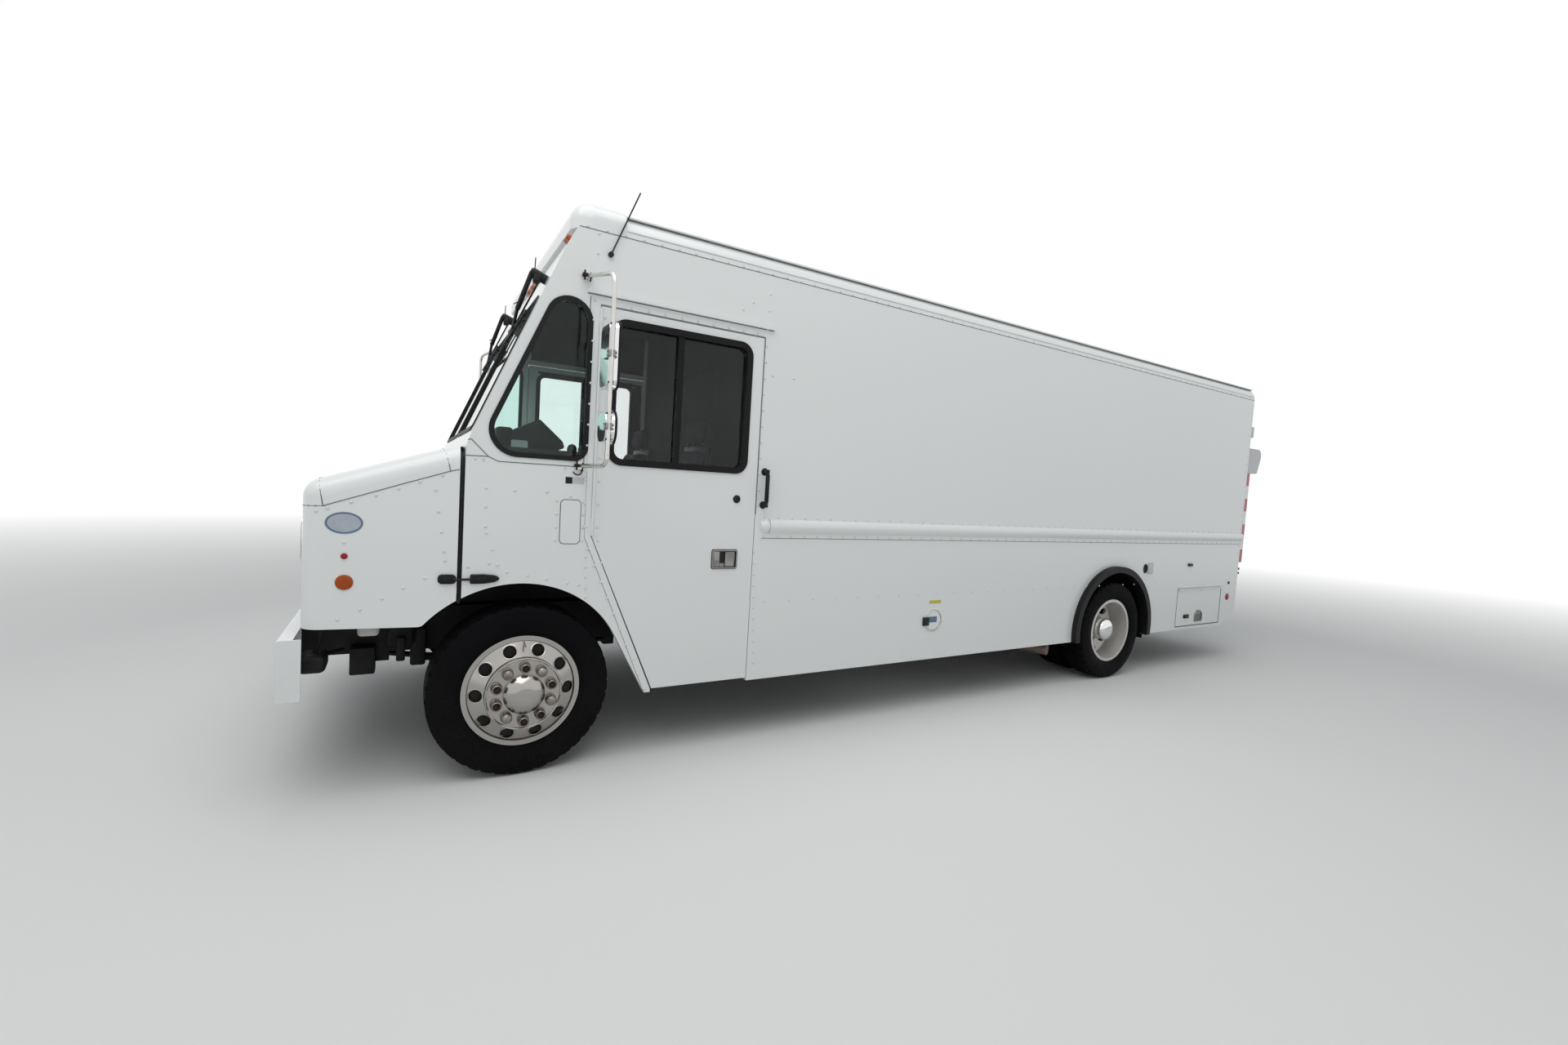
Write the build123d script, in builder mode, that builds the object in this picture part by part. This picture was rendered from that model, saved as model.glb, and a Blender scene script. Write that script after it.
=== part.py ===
"""Step van: walk-in cab, long load body, ladder frame, two axles.

Millimetres, +Z up, +Y rearward, +X to the van's own left. The origin is on the ground,
midway between the bumper's front face and the housing on the rear corner. Stations are
measured rearward from the front axle and heights from the ground.
"""

from build123d import *
from math import acos, atan2, cos, degrees, hypot, radians, sin, sqrt
import os

os.makedirs("parts", exist_ok=True)

# Clearances
move_gap = 5.0
seat_gap = 0.3
barrel_gap = 1.0

# Wheelbase, tyres and disc wheels
wheelbase = 5283.0
tyre_radius = 462.0
tyre_width = 255.0
rim_radius = 286.0
rim_lip = 13.0
rim_width = 216.0
rim_wall = 12.0
wheel_offset = 165.0
disc_thickness = 22.0
hub_bore_radius = 62.0
flange_radius = rim_radius + rim_lip
rim_half_width = rim_width / 2
axle_z = tyre_radius

# Body shell
body_half_width = 1198.0
wall = 40.0
skirt_z = 389.0
sill_height = 60.0
floor_thickness = 40.0
frame_top = 800.0
seam_z = 2954.0
rail_rise = 123.0
crown_rise = 28.0
cap_rise = 8.0
inner_half_width = body_half_width - wall
floor_base = frame_top + sill_height
floor_top = floor_base + floor_thickness
rail_top_z = seam_z + rail_rise
crown_z = rail_top_z + crown_rise
cap_top_z = crown_z + cap_rise

# Stations along the van
front_overhang = 1060.0
bumper_reach = 83.0
hood_length = 642.0
hood_gap = 22.0
door_front = 318.0
door_width = 1021.0
rear_overhang = 2414.0
rear_box_depth = 325.0
bumper_front = -front_overhang
hood_front = bumper_front + bumper_reach
hood_rear = hood_front + hood_length
cowl_front = hood_rear + hood_gap
door_rear = door_front + door_width
rear_face = wheelbase + rear_overhang
rear_box_end = rear_face + rear_box_depth
front_axle_y = -(bumper_front + rear_box_end) / 2

# Wheel and kingpin places across the van
front_wheel_inset = 153.0
rear_mounting_inset = 270.0
kingpin_inset = 165.0
front_wheel_x = body_half_width - front_wheel_inset
rear_mounting_x = body_half_width - rear_mounting_inset
rear_outer_x = rear_mounting_x + wheel_offset
rear_inner_x = rear_mounting_x - wheel_offset
kingpin_x = front_wheel_x - kingpin_inset

# Springs and ladder frame, set inwards from the rear tyres
spring_tyre_gap = 113.5
spring_width = 76.0
spring_rail_gap = 14.0
rail_width = 76.0
rail_web = 8.0
rail_lift = 83.0
bumper_radius = 22.0
rear_spring_outer = rear_inner_x - tyre_width / 2 - spring_tyre_gap
rear_spring_inner = rear_spring_outer - spring_width
rail_outer_x = rear_spring_inner - spring_rail_gap
rail_inner_x = rail_outer_x - rail_width
rail_base_z = axle_z + rail_lift
frame_front = bumper_front + bumper_radius
frame_rear = rear_face + rail_web

# Windshield plane: its station at a height
screen_setback = 23.0
screen_base_z = 1823.0
screen_slope = 0.4112
screen_height = 769.0
header_rise = 248.0
header_setback = 57.0
cowl_drop = 68.0
screen_base_station = cowl_front + screen_setback
screen_angle = degrees(atan2(screen_slope, 1))
screen_top_z = screen_base_z + screen_height
header_top_z = screen_top_z + header_rise
header_top_station = screen_base_station + screen_slope * (header_top_z - screen_base_z)
seam_front_station = header_top_station + header_setback
cowl_top_z = screen_base_z - cowl_drop

# Cab doors
door_head_z = 2565.0
door_knee_z = 1302.0
door_foot_reach = 380.0
door_foot_rise = 19.0
door_thickness = 45.0
door_strip = 35.0
door_foot_station = door_front + door_foot_reach
door_foot_z = skirt_z + door_foot_rise
door_x0 = body_half_width - door_thickness

# Wheel arches
arch_clearance = 116.0
arch_station = -38.0
arch_lift = 13.0
rear_arch_clearance = 98.0
rear_arch_shift = 7.0
rear_arch_lift = 18.0
flare_lip = 15.0
flare_band = 43.0
flare_depth = 50.0
arch_radius = tyre_radius + arch_clearance
arch_z = axle_z + arch_lift
arch_foot = door_foot_station - door_strip
arch_cut_base = skirt_z - 10
rear_arch_radius = tyre_radius + rear_arch_clearance
rear_arch_station = wheelbase + rear_arch_shift
rear_arch_z = axle_z + rear_arch_lift
wheelhouse_tyre_gap = 35.5
wheelhouse_x = rear_inner_x - tyre_width / 2 - wheelhouse_tyre_gap

# Hinges
hinge_offset = 8.0
hinge_radius = 7.0
hinge_pin_radius = 3.0
hinge_leaf = 3.0
hinge_leaf_width = 36.0
hinge_leaf_start = 3.0
hinge_barrel_room = 9.0
hinge_x = body_half_width + hinge_offset
hinge_station = door_front + hinge_leaf_start

# Sheet and glass
sheet = 12.0
trim_sheet = 3.0
glass_thickness = 6.0
pane_seal = 26.0


def side_plane(x):
    """Plane facing +X, drawn with (station, height)."""
    return Plane(origin=(x, front_axle_y, 0), x_dir=(0, 1, 0), z_dir=(1, 0, 0))


def cross_plane(station):
    """Plane facing forward, drawn with (x, height)."""
    return Plane(origin=(0, front_axle_y + station, 0), x_dir=(1, 0, 0), z_dir=(0, -1, 0))


def level_plane(height):
    """Plane facing up, drawn with (x, station)."""
    return Plane(origin=(0, front_axle_y, height))


def slab(x_range, station_range, height_range, mode=Mode.ADD):
    """Box between two x values, two stations and two heights."""
    x0, x1 = x_range
    s0, s1 = station_range
    z0, z1 = height_range
    with Locations(((x0 + x1) / 2, front_axle_y + (s0 + s1) / 2, (z0 + z1) / 2)):
        Box(x1 - x0, s1 - s0, z1 - z0, mode=mode)


def outline(plane, points):
    """Closed straight-sided face on a plane."""
    with BuildSketch(plane) as face:
        with BuildLine():
            Polyline(*points, close=True)
        make_face()
    return face.sketch


def rounded_outline(plane, points, radius):
    """Closed face on a plane with all its corners rounded."""
    with BuildSketch(plane) as face:
        with BuildLine():
            Polyline(*points, close=True)
        make_face()
        fillet(face.vertices(), radius=radius)
    return face.sketch


def rounded_plate(plane, first, second, radius):
    """Rounded rectangle between two opposite corners on a plane."""
    with BuildSketch(plane) as face:
        with Locations(((first[0] + second[0]) / 2, (first[1] + second[1]) / 2)):
            RectangleRounded(abs(second[0] - first[0]), abs(second[1] - first[1]), radius)
    return face.sketch


def rod(start, end, radius, mode=Mode.ADD):
    """Round bar between two (x, station, height) points."""
    base = Vector(start[0], front_axle_y + start[1], start[2])
    tip = Vector(end[0], front_axle_y + end[1], end[2])
    with BuildSketch(Plane(origin=base, z_dir=tip - base)) as disc:
        Circle(radius)
    extrude(disc.sketch, amount=(tip - base).length, mode=mode)


def tube(points, radius, bend):
    """Bent bar through (x, station, height) points."""
    with BuildLine() as path:
        FilletPolyline(*[(x, front_axle_y + station, z) for x, station, z in points], radius=bend)
    with BuildSketch(Plane(origin=path.line @ 0, z_dir=path.line % 0)) as disc:
        Circle(radius)
    sweep(disc.sketch, path=path.line)


def barrel_spans(low, high, end, middle):
    """Fixed and moving barrel spans of one long hinge: fixed at both ends and in the middle."""
    centre = (low + high) / 2
    fixed = ((low, low + end), (centre - middle / 2, centre + middle / 2), (high - end, high))
    moving = tuple((a[1] + barrel_gap, b[0] - barrel_gap) for a, b in zip(fixed, fixed[1:]))
    return fixed, moving


def hinge_barrels(point, spans, pin=False):
    """Barrels over spans about one axis, bored for the pin; point gives a place on the axis."""
    for low, high in spans:
        rod(point(low), point(high), hinge_radius)
    if pin:
        rod(point(spans[0][0]), point(spans[-1][1]), hinge_pin_radius)
    else:
        for low, high in spans:
            rod(point(low), point(high), hinge_pin_radius + seat_gap, mode=Mode.SUBTRACT)


def screen_point(x, height, standoff):
    """Point standing off the windshield plane."""
    lean = radians(screen_angle)
    station = screen_base_station + screen_slope * (height - screen_base_z)
    return (x, station - standoff * cos(lean), height + standoff * sin(lean))


def arch_cut(x):
    """Front arch opening: a circle with a straight trailing edge."""
    reach = hypot(arch_foot - arch_station, skirt_z - arch_z)
    lean = atan2(skirt_z - arch_z, arch_foot - arch_station) + acos(arch_radius / reach)
    tangent = (arch_station + arch_radius * cos(lean), arch_z + arch_radius * sin(lean))
    with BuildSketch(side_plane(x)) as cut:
        with Locations((arch_station, arch_z)):
            Circle(arch_radius)
        with BuildLine():
            Polyline(
                (arch_station - arch_radius, arch_z),
                tangent,
                (arch_foot, skirt_z),
                (arch_foot, arch_cut_base),
                (arch_station - arch_radius, arch_cut_base),
                close=True,
            )
        make_face()
    return cut.sketch


def rear_arch_cut(x):
    """Rear arch opening: a half circle with straight sides below."""
    with BuildSketch(side_plane(x)) as cut:
        with Locations((rear_arch_station, rear_arch_z)):
            Circle(rear_arch_radius)
        with Locations((rear_arch_station, (rear_arch_z + arch_cut_base) / 2)):
            Rectangle(2 * rear_arch_radius, rear_arch_z - arch_cut_base)
    return cut.sketch


# Quarter window: a leaning triangle with three corner radii
quarter_slope = 0.4161
quarter_sill = 111.0
quarter_base_z = screen_base_z - quarter_sill
quarter_front = screen_base_station + 6
quarter_rear = door_front - 37
quarter_corners = (
    (quarter_front, quarter_base_z),
    (quarter_rear, quarter_base_z),
    (quarter_rear, quarter_base_z + (quarter_rear - quarter_front) / quarter_slope),
)
quarter_radii = (140.0, 77.0, 122.0)


def quarter_outline(x, inset):
    """Quarter window outline, moved inward by inset."""
    with BuildSketch(side_plane(x)) as face:
        with BuildLine():
            Polyline(*quarter_corners, close=True)
        make_face()
        for corner, radius in zip(quarter_corners, quarter_radii):
            vertex = face.vertices().sort_by_distance(Vector(*corner, 0))[0]
            fillet(vertex, radius=radius)
        if inset:
            offset(amount=-inset, mode=Mode.REPLACE)
    return face.sketch


# Door window: a rounded rectangle
window_front = door_front + 66
window_rear = door_rear - 79
window_base_z = 1706.0
window_top_z = door_head_z - 51
window_radius = 85.0


def door_window_outline(x, inset):
    """Door window outline, moved inward by inset."""
    return rounded_plate(
        side_plane(x),
        (window_front + inset, window_base_z + inset),
        (window_rear - inset, window_top_z - inset),
        window_radius - inset,
    )


# Windshield panes, drawn in the windshield plane
screen_plane = Plane(
    origin=(0, front_axle_y + screen_base_station, screen_base_z),
    x_dir=(1, 0, 0),
    z_dir=(0, -cos(radians(screen_angle)), sin(radians(screen_angle))),
)
pane_inner_x = 18.0
pane_outer_x = inner_half_width - 62
pane_low = 16.0
pane_high = screen_height / cos(radians(screen_angle))
pane_radius = 70.0


def pane_outline(inset, depth):
    """Both windshield openings, moved inward by inset, at a depth behind the plane."""
    with BuildSketch(screen_plane.offset(-depth)) as face:
        for side in (1, -1):
            with Locations((side * (pane_inner_x + pane_outer_x) / 2, (pane_low + pane_high) / 2)):
                RectangleRounded(
                    pane_outer_x - pane_inner_x - 2 * inset,
                    pane_high - pane_low - 2 * inset,
                    pane_radius - inset,
                )
    return face.sketch


# Cab door hinge, and a shallow access panel ahead of the door
door_hinge_fixed, door_hinge_moving = barrel_spans(door_knee_z + 8, door_head_z - 15, 90.0, 100.0)
access_front = 152.0
access_rear = 255.0
access_base_z = 1266.0
access_top_z = 1501.0
access_radius = 22.0


def door_hinge_point(height):
    """Point of the left door's hinge axis at a height."""
    return (hinge_x, hinge_station, height)


# Cab side panels, with quarter window, arch, the header above the door and its edge strip
with BuildPart() as cab_side_left:
    extrude(
        outline(
            side_plane(inner_half_width),
            [
                (cowl_front, skirt_z),
                (cowl_front, cowl_top_z),
                (screen_base_station, screen_base_z),
                (header_top_station, header_top_z),
                (seam_front_station, seam_z),
                (door_rear, seam_z),
                (door_rear, door_head_z),
                (door_front, door_head_z),
                (door_front, door_knee_z),
                (door_foot_station, door_foot_z),
                (door_foot_station, skirt_z),
            ],
        ),
        amount=wall,
    )
    extrude(arch_cut(inner_half_width), amount=wall, mode=Mode.SUBTRACT)
    extrude(quarter_outline(inner_half_width, 0), amount=wall, mode=Mode.SUBTRACT)
    extrude(
        outline(
            side_plane(body_half_width),
            [
                (door_front - door_strip, door_knee_z),
                (door_front, door_knee_z),
                (door_foot_station, door_foot_z),
                (door_foot_station, skirt_z),
                (arch_foot, skirt_z),
            ],
        ),
        amount=trim_sheet,
    )
    extrude(
        rounded_plate(
            side_plane(body_half_width), (access_front, access_base_z), (access_rear, access_top_z), access_radius
        ),
        amount=trim_sheet,
    )
    slab(
        (body_half_width, body_half_width + hinge_leaf),
        (door_front - hinge_leaf_width, hinge_station - hinge_barrel_room),
        (door_knee_z, door_head_z),
    )
    for low, high in door_hinge_fixed:
        slab(
            (body_half_width, body_half_width + hinge_leaf),
            (hinge_station - hinge_barrel_room, door_front),
            (low, high),
        )
    hinge_barrels(door_hinge_point, door_hinge_fixed, pin=True)

with BuildPart() as cab_side_right:
    mirror(cab_side_left.part, about=Plane.YZ)

# Locker in the left load body side: opening and hinge
locker_reach = 1161.0
locker_front = wheelbase + locker_reach
locker_rear = rear_face - 352
locker_base_z = skirt_z + 33
locker_top_z = frame_top + 16
locker_hinge_z = locker_top_z + 3
locker_hinge_fixed, locker_hinge_moving = barrel_spans(locker_front + 16, locker_rear - 15, 60.0, 60.0)

# Rear skirt corner and the round fuel door
corner_rise = 146.0
corner_run = 290.0
fuel_door_station = 2943.0
fuel_door_z = 694.0
fuel_door_radius = 82.0
fuel_door_groove = 4.0


def locker_hinge_point(station):
    """Point of the locker door's hinge axis at a station."""
    return (hinge_x, station, locker_hinge_z)


def body_side_outline(x):
    """Load body side with its raised rear corner."""
    return outline(
        side_plane(x),
        [
            (door_rear, skirt_z),
            (door_rear, seam_z),
            (rear_face, seam_z),
            (rear_face, skirt_z + corner_rise),
            (rear_face - corner_run, skirt_z),
        ],
    )


# Load body side panels, with rear arch and locker opening
with BuildPart() as body_side_left:
    extrude(body_side_outline(inner_half_width), amount=wall)
    extrude(rear_arch_cut(inner_half_width), amount=wall, mode=Mode.SUBTRACT)
    slab(
        (inner_half_width, body_half_width),
        (locker_front, locker_rear),
        (locker_base_z, locker_top_z),
        mode=Mode.SUBTRACT,
    )
    with BuildSketch(side_plane(body_half_width)) as fuel_ring:
        with Locations((fuel_door_station, fuel_door_z)):
            Circle(fuel_door_radius)
            Circle(fuel_door_radius - fuel_door_groove, mode=Mode.SUBTRACT)
    extrude(fuel_ring.sketch, amount=-fuel_door_groove, mode=Mode.SUBTRACT)
    for low, high in locker_hinge_fixed:
        slab(
            (body_half_width, body_half_width + hinge_leaf),
            (low, high),
            (locker_hinge_z - hinge_leaf_start, locker_hinge_z + 16),
        )
    hinge_barrels(locker_hinge_point, locker_hinge_fixed, pin=True)

with BuildPart() as body_side_right:
    extrude(body_side_outline(-body_half_width), amount=wall)
    extrude(rear_arch_cut(-body_half_width), amount=wall, mode=Mode.SUBTRACT)

# Roof: curved rails along both edges and a crowned sheet
rail_inset = 58.0
rail_bulge = 16.0
rail_bulge_z = seam_z + 68
rail_inner_inset = 36.0
cap_rear = 440.0

with BuildPart() as roof:
    with BuildSketch(cross_plane(rear_face)):
        with BuildLine():
            for side in (1, -1):
                Line((side * inner_half_width, seam_z), (side * body_half_width, seam_z))
                ThreePointArc(
                    (side * body_half_width, seam_z),
                    (side * (body_half_width - rail_bulge), rail_bulge_z),
                    (side * (body_half_width - rail_inset), rail_top_z),
                )
                ThreePointArc(
                    (side * inner_half_width, seam_z),
                    (side * (inner_half_width - rail_bulge / 2), (seam_z + rail_top_z - wall) / 2),
                    (side * (inner_half_width - rail_inner_inset), rail_top_z - wall),
                )
            ThreePointArc(
                (body_half_width - rail_inset, rail_top_z), (0, crown_z), (rail_inset - body_half_width, rail_top_z)
            )
            ThreePointArc(
                (inner_half_width - rail_inner_inset, rail_top_z - wall),
                (0, crown_z - wall),
                (rail_inner_inset - inner_half_width, rail_top_z - wall),
            )
        make_face()
    extrude(amount=rear_face - cap_rear)

# Roof cap: a rounded moulding over the front of the roof
cap_front = seam_front_station - 27
cap_radius = 105.0

with BuildPart() as roof_cap:
    slab((-body_half_width, body_half_width), (cap_front, cap_rear), (seam_z, cap_top_z))
    cap_edges = roof_cap.faces().sort_by(Axis.Z)[-1].edges()
    cap_rear_edge = cap_edges.sort_by(Axis.Y)[-1]
    cap_posts = roof_cap.edges().filter_by(Axis.Z).group_by(Axis.Y)[0]
    fillet([e for e in cap_edges if e != cap_rear_edge] + list(cap_posts), radius=cap_radius)
    offset(
        amount=-wall,
        openings=[roof_cap.faces().sort_by(Axis.Z)[0], roof_cap.faces().sort_by(Axis.Y)[-1]],
    )

# Engine cover in the cab, also the opening behind it in the cowl wall
cover_side_gap = 50.0
cover_rear = 450.0
cover_top_z = 1390.0
engine_half = rail_inner_x - 26
cover_half = engine_half + cover_side_gap
frame_lean = 8.0

# Cab front: cowl wall, windshield frame and header
with BuildPart() as cab_front:
    extrude(
        outline(
            side_plane(-inner_half_width),
            [
                (cowl_front, floor_top),
                (cowl_front, cowl_top_z),
                (screen_base_station, screen_base_z),
                (header_top_station, header_top_z),
                (seam_front_station, seam_z),
                (seam_front_station + wall, seam_z),
                (header_top_station + wall + frame_lean, header_top_z),
                (screen_base_station + wall + frame_lean, screen_base_z),
                (cowl_front + wall, cowl_top_z),
                (cowl_front + wall, floor_top),
            ],
        ),
        amount=2 * inner_half_width,
    )
    extrude(pane_outline(0, 2 * wall), amount=3 * wall, mode=Mode.SUBTRACT)
    slab(
        (sheet - cover_half, cover_half - sheet),
        (cowl_front, cowl_front + wall),
        (floor_top, cover_top_z - sheet),
        mode=Mode.SUBTRACT,
    )
    for start_x in (wheelhouse_x, -inner_half_width):
        extrude(arch_cut(start_x), amount=inner_half_width - wheelhouse_x, mode=Mode.SUBTRACT)

# Windshield panes and quarter windows
pane_depth = 14.0
quarter_glass_x = inner_half_width + 22

with BuildPart() as cab_glass:
    extrude(pane_outline(pane_seal, pane_depth), amount=glass_thickness)
    for side_x in (quarter_glass_x, -quarter_glass_x - glass_thickness):
        extrude(quarter_outline(side_x, pane_seal), amount=glass_thickness)

# Rubber glazing seals
seal_proud = 6.0
seal_depth = 24.0
seal_width = seal_depth + seal_proud

with BuildPart() as glazing_seals:
    extrude(pane_outline(0, seal_depth), amount=seal_width)
    extrude(pane_outline(pane_seal, seal_depth), amount=seal_width, mode=Mode.SUBTRACT)
    for side_x in (body_half_width + seal_proud - seal_width, -body_half_width - seal_proud):
        extrude(quarter_outline(side_x, 0), amount=seal_width)
        extrude(quarter_outline(side_x, pane_seal), amount=seal_width, mode=Mode.SUBTRACT)

# Cab doors: skin with knee-shaped lower front edge, latch recess and paddle
door_window_frame = 38.0
door_frame_inset = 15.0
door_mullion = (774.0, 810.0)
latch_front = door_rear - 288
latch_rear = door_rear - 112
latch_base_z = 1113.0
latch_top_z = 1236.0
latch_depth = 14.0
latch_radius = 12.0
paddle_edge = 22.0
door_foot_gap = move_gap + 6

with BuildPart() as door_left:
    extrude(
        outline(
            side_plane(door_x0),
            [
                (door_front + move_gap, door_head_z - move_gap),
                (door_rear - move_gap, door_head_z - move_gap),
                (door_rear - move_gap, door_foot_z),
                (door_foot_station + door_foot_gap, door_foot_z),
                (door_front + move_gap, door_knee_z),
            ],
        ),
        amount=door_thickness,
    )
    extrude(door_window_outline(door_x0, 0), amount=door_thickness, mode=Mode.SUBTRACT)
    extrude(
        rounded_plate(
            side_plane(body_half_width - latch_depth),
            (latch_front, latch_base_z),
            (latch_rear, latch_top_z),
            latch_radius,
        ),
        amount=latch_depth,
        mode=Mode.SUBTRACT,
    )
    slab(
        (body_half_width - latch_depth, body_half_width - trim_sheet),
        (latch_front + paddle_edge, latch_rear - 3 * paddle_edge),
        (latch_base_z + paddle_edge, latch_top_z - paddle_edge),
    )
    slab(
        (body_half_width, body_half_width + hinge_leaf),
        (hinge_station + hinge_barrel_room, door_front + move_gap + hinge_leaf_width),
        (door_knee_z + 8, door_head_z - 15),
    )
    for low, high in door_hinge_moving:
        slab(
            (body_half_width, body_half_width + hinge_leaf),
            (hinge_station + 4, hinge_station + hinge_barrel_room),
            (low, high),
        )
    hinge_barrels(door_hinge_point, door_hinge_moving)

with BuildPart() as door_frame_left:
    extrude(door_window_outline(door_x0 + door_frame_inset, 0), amount=door_thickness - door_frame_inset + 8)
    extrude(
        door_window_outline(door_x0 + door_frame_inset, door_window_frame),
        amount=door_thickness - door_frame_inset + 8,
        mode=Mode.SUBTRACT,
    )
    slab(
        (door_x0 + 25, body_half_width),
        door_mullion,
        (window_base_z + door_window_frame / 2, window_top_z - door_window_frame / 2),
    )

with BuildPart() as door_glass_left:
    extrude(door_window_outline(door_x0 + door_frame_inset + 3, door_window_frame), amount=glass_thickness)

with BuildPart() as door_right:
    mirror(door_left.part, about=Plane.YZ)

with BuildPart() as door_frame_right:
    mirror(door_frame_left.part, about=Plane.YZ)

with BuildPart() as door_glass_right:
    mirror(door_glass_left.part, about=Plane.YZ)

# Rear doors and their hinges: three hinges a side, each with a moving barrel between two fixed ones
rear_door_half = 765.0
rear_door_base = floor_top + move_gap
rear_door_head = seam_z - 194
rear_hinge_x = rear_door_half + hinge_leaf_start
rear_hinge_station = rear_face + hinge_offset
rear_hinge_rise = (95.0, 875.0)
rear_hinge_heights = (
    rear_door_base + rear_hinge_rise[0],
    rear_door_base + rear_hinge_rise[1],
    rear_door_head - 220,
)
rear_barrel = 40.0
rear_barrel_middle = 59.0
rear_barrel_top = rear_barrel + rear_barrel_middle + 2 * barrel_gap
rear_leaf_start = 4.0


def rear_hinge_point(height):
    """Point of the left rear door's hinge axis at a height."""
    return (rear_hinge_x, rear_hinge_station, height)


with BuildPart() as rear_frame:
    slab((0, inner_half_width), (rear_face - wall, rear_face), (frame_top + 6, seam_z))
    slab(
        (0, rear_door_half),
        (rear_face - wall, rear_face),
        (rear_door_base, rear_door_head),
        mode=Mode.SUBTRACT,
    )
    for base in rear_hinge_heights:
        spans = ((base, base + rear_barrel), (base + rear_barrel_top, base + rear_barrel_top + rear_barrel))
        for low, high in spans:
            slab(
                (rear_hinge_x, rear_hinge_x + hinge_leaf_width),
                (rear_face, rear_face + hinge_leaf),
                (low, high),
            )
        hinge_barrels(rear_hinge_point, spans, pin=True)
    mirror(about=Plane.YZ)

# Rear door lock rods in their guides, with a handle
lock_rod_x = 60.0
lock_rod_radius = 10.0
lock_rod_standoff = 18.0
lock_guide = 26.0
lock_handle_z = 1560.0
lock_handle_width = 190.0

with BuildPart() as rear_door_left:
    slab(
        (move_gap / 2, rear_door_half - move_gap),
        (rear_face - wall, rear_face),
        (rear_door_base + move_gap, rear_door_head - move_gap),
    )
    for base in rear_hinge_heights:
        spans = ((base + rear_barrel + barrel_gap, base + rear_barrel + barrel_gap + rear_barrel_middle),)
        slab(
            (rear_hinge_x - hinge_leaf_width, rear_hinge_x - rear_leaf_start),
            (rear_face, rear_face + hinge_leaf),
            spans[0],
        )
        hinge_barrels(rear_hinge_point, spans)
    rod(
        (lock_rod_x, rear_face + lock_rod_standoff, rear_door_base + 2 * move_gap),
        (lock_rod_x, rear_face + lock_rod_standoff, rear_door_head - 2 * move_gap),
        lock_rod_radius,
    )
    for height in (rear_door_base + 120, lock_handle_z, rear_door_head - 120):
        slab(
            (lock_rod_x - lock_guide, lock_rod_x + lock_guide),
            (rear_face, rear_face + lock_rod_standoff + lock_rod_radius + hinge_leaf),
            (height - lock_guide, height + lock_guide),
        )
    slab(
        (lock_rod_x, lock_rod_x + lock_handle_width),
        (rear_face + lock_rod_standoff, rear_face + lock_rod_standoff + lock_rod_radius),
        (lock_handle_z - lock_rod_radius, lock_handle_z + lock_rod_radius),
    )

with BuildPart() as rear_door_right:
    mirror(rear_door_left.part, about=Plane.YZ)

# Cab floor with engine cover and step wells
well_width = 378.0
well_front = 720.0
step_gap = 4.0
step_thickness = 20.0
wheelhouse_rear = 470.0
wheelhouse_top = 1120.0
wheelhouse_shoulder = 300.0
well_x = inner_half_width - well_width
step_x = door_x0 - move_gap
step_z = door_foot_z + step_gap

with BuildPart() as cab_floor:
    slab((0, step_x), (cowl_front + wall, door_rear), (floor_base, floor_top))
    slab((well_x, inner_half_width), (well_front, door_rear), (floor_base, floor_top), mode=Mode.SUBTRACT)
    slab(
        (wheelhouse_x, inner_half_width),
        (cowl_front + wall, wheelhouse_rear),
        (floor_base, floor_top),
        mode=Mode.SUBTRACT,
    )
    slab((well_x, step_x), (well_front, door_rear), (step_z, step_z + step_thickness))
    slab((well_x - sheet, well_x), (well_front - sheet, door_rear), (step_z, floor_top))
    slab((well_x, step_x), (door_rear - sheet, door_rear), (step_z, floor_base))
    slab((well_x, step_x), (well_front - sheet, well_front), (step_z, floor_top))
    slab((0, cover_half), (cowl_front + wall, cover_rear), (floor_base, cover_top_z))
    slab(
        (0, cover_half - sheet),
        (cowl_front + wall, cover_rear - sheet),
        (floor_base, cover_top_z - sheet),
        mode=Mode.SUBTRACT,
    )
    mirror(about=Plane.YZ)

# Wheel houses over the front wheels, closed towards the cab
with BuildPart() as front_wheelhouses:
    extrude(
        outline(
            side_plane(wheelhouse_x),
            [
                (cowl_front + wall, floor_base),
                (cowl_front + wall, wheelhouse_top),
                (wheelhouse_shoulder, wheelhouse_top),
                (wheelhouse_rear, floor_top),
                (wheelhouse_rear, floor_base),
            ],
        ),
        amount=inner_half_width - wheelhouse_x,
    )
    extrude(
        arch_cut(wheelhouse_x + sheet),
        amount=inner_half_width - wheelhouse_x - sheet,
        mode=Mode.SUBTRACT,
    )
    mirror(about=Plane.YZ)

# Load floor with boxes over the rear wheels
rear_box_top = 1120.0
rear_box_half = rear_arch_radius + 65
rear_box = (rear_arch_station - rear_box_half, rear_arch_station + rear_box_half)

with BuildPart() as load_floor:
    slab((0, inner_half_width), (door_rear, rear_face - wall), (floor_base, floor_top))
    slab((wheelhouse_x, inner_half_width), rear_box, (floor_base, rear_box_top))
    slab(
        (wheelhouse_x + sheet, inner_half_width),
        (rear_box[0] + sheet, rear_box[1] - sheet),
        (floor_base, rear_box_top - sheet),
        mode=Mode.SUBTRACT,
    )
    mirror(about=Plane.YZ)

# Ladder frame: two channel rails, open inwards
with BuildPart() as frame_rails:
    slab((rail_inner_x, rail_outer_x), (frame_front, frame_rear), (rail_base_z, frame_top))
    slab(
        (rail_inner_x, rail_outer_x - rail_web),
        (frame_front, frame_rear),
        (rail_base_z + rail_web, frame_top - rail_web),
        mode=Mode.SUBTRACT,
    )
    mirror(about=Plane.YZ)

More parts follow.
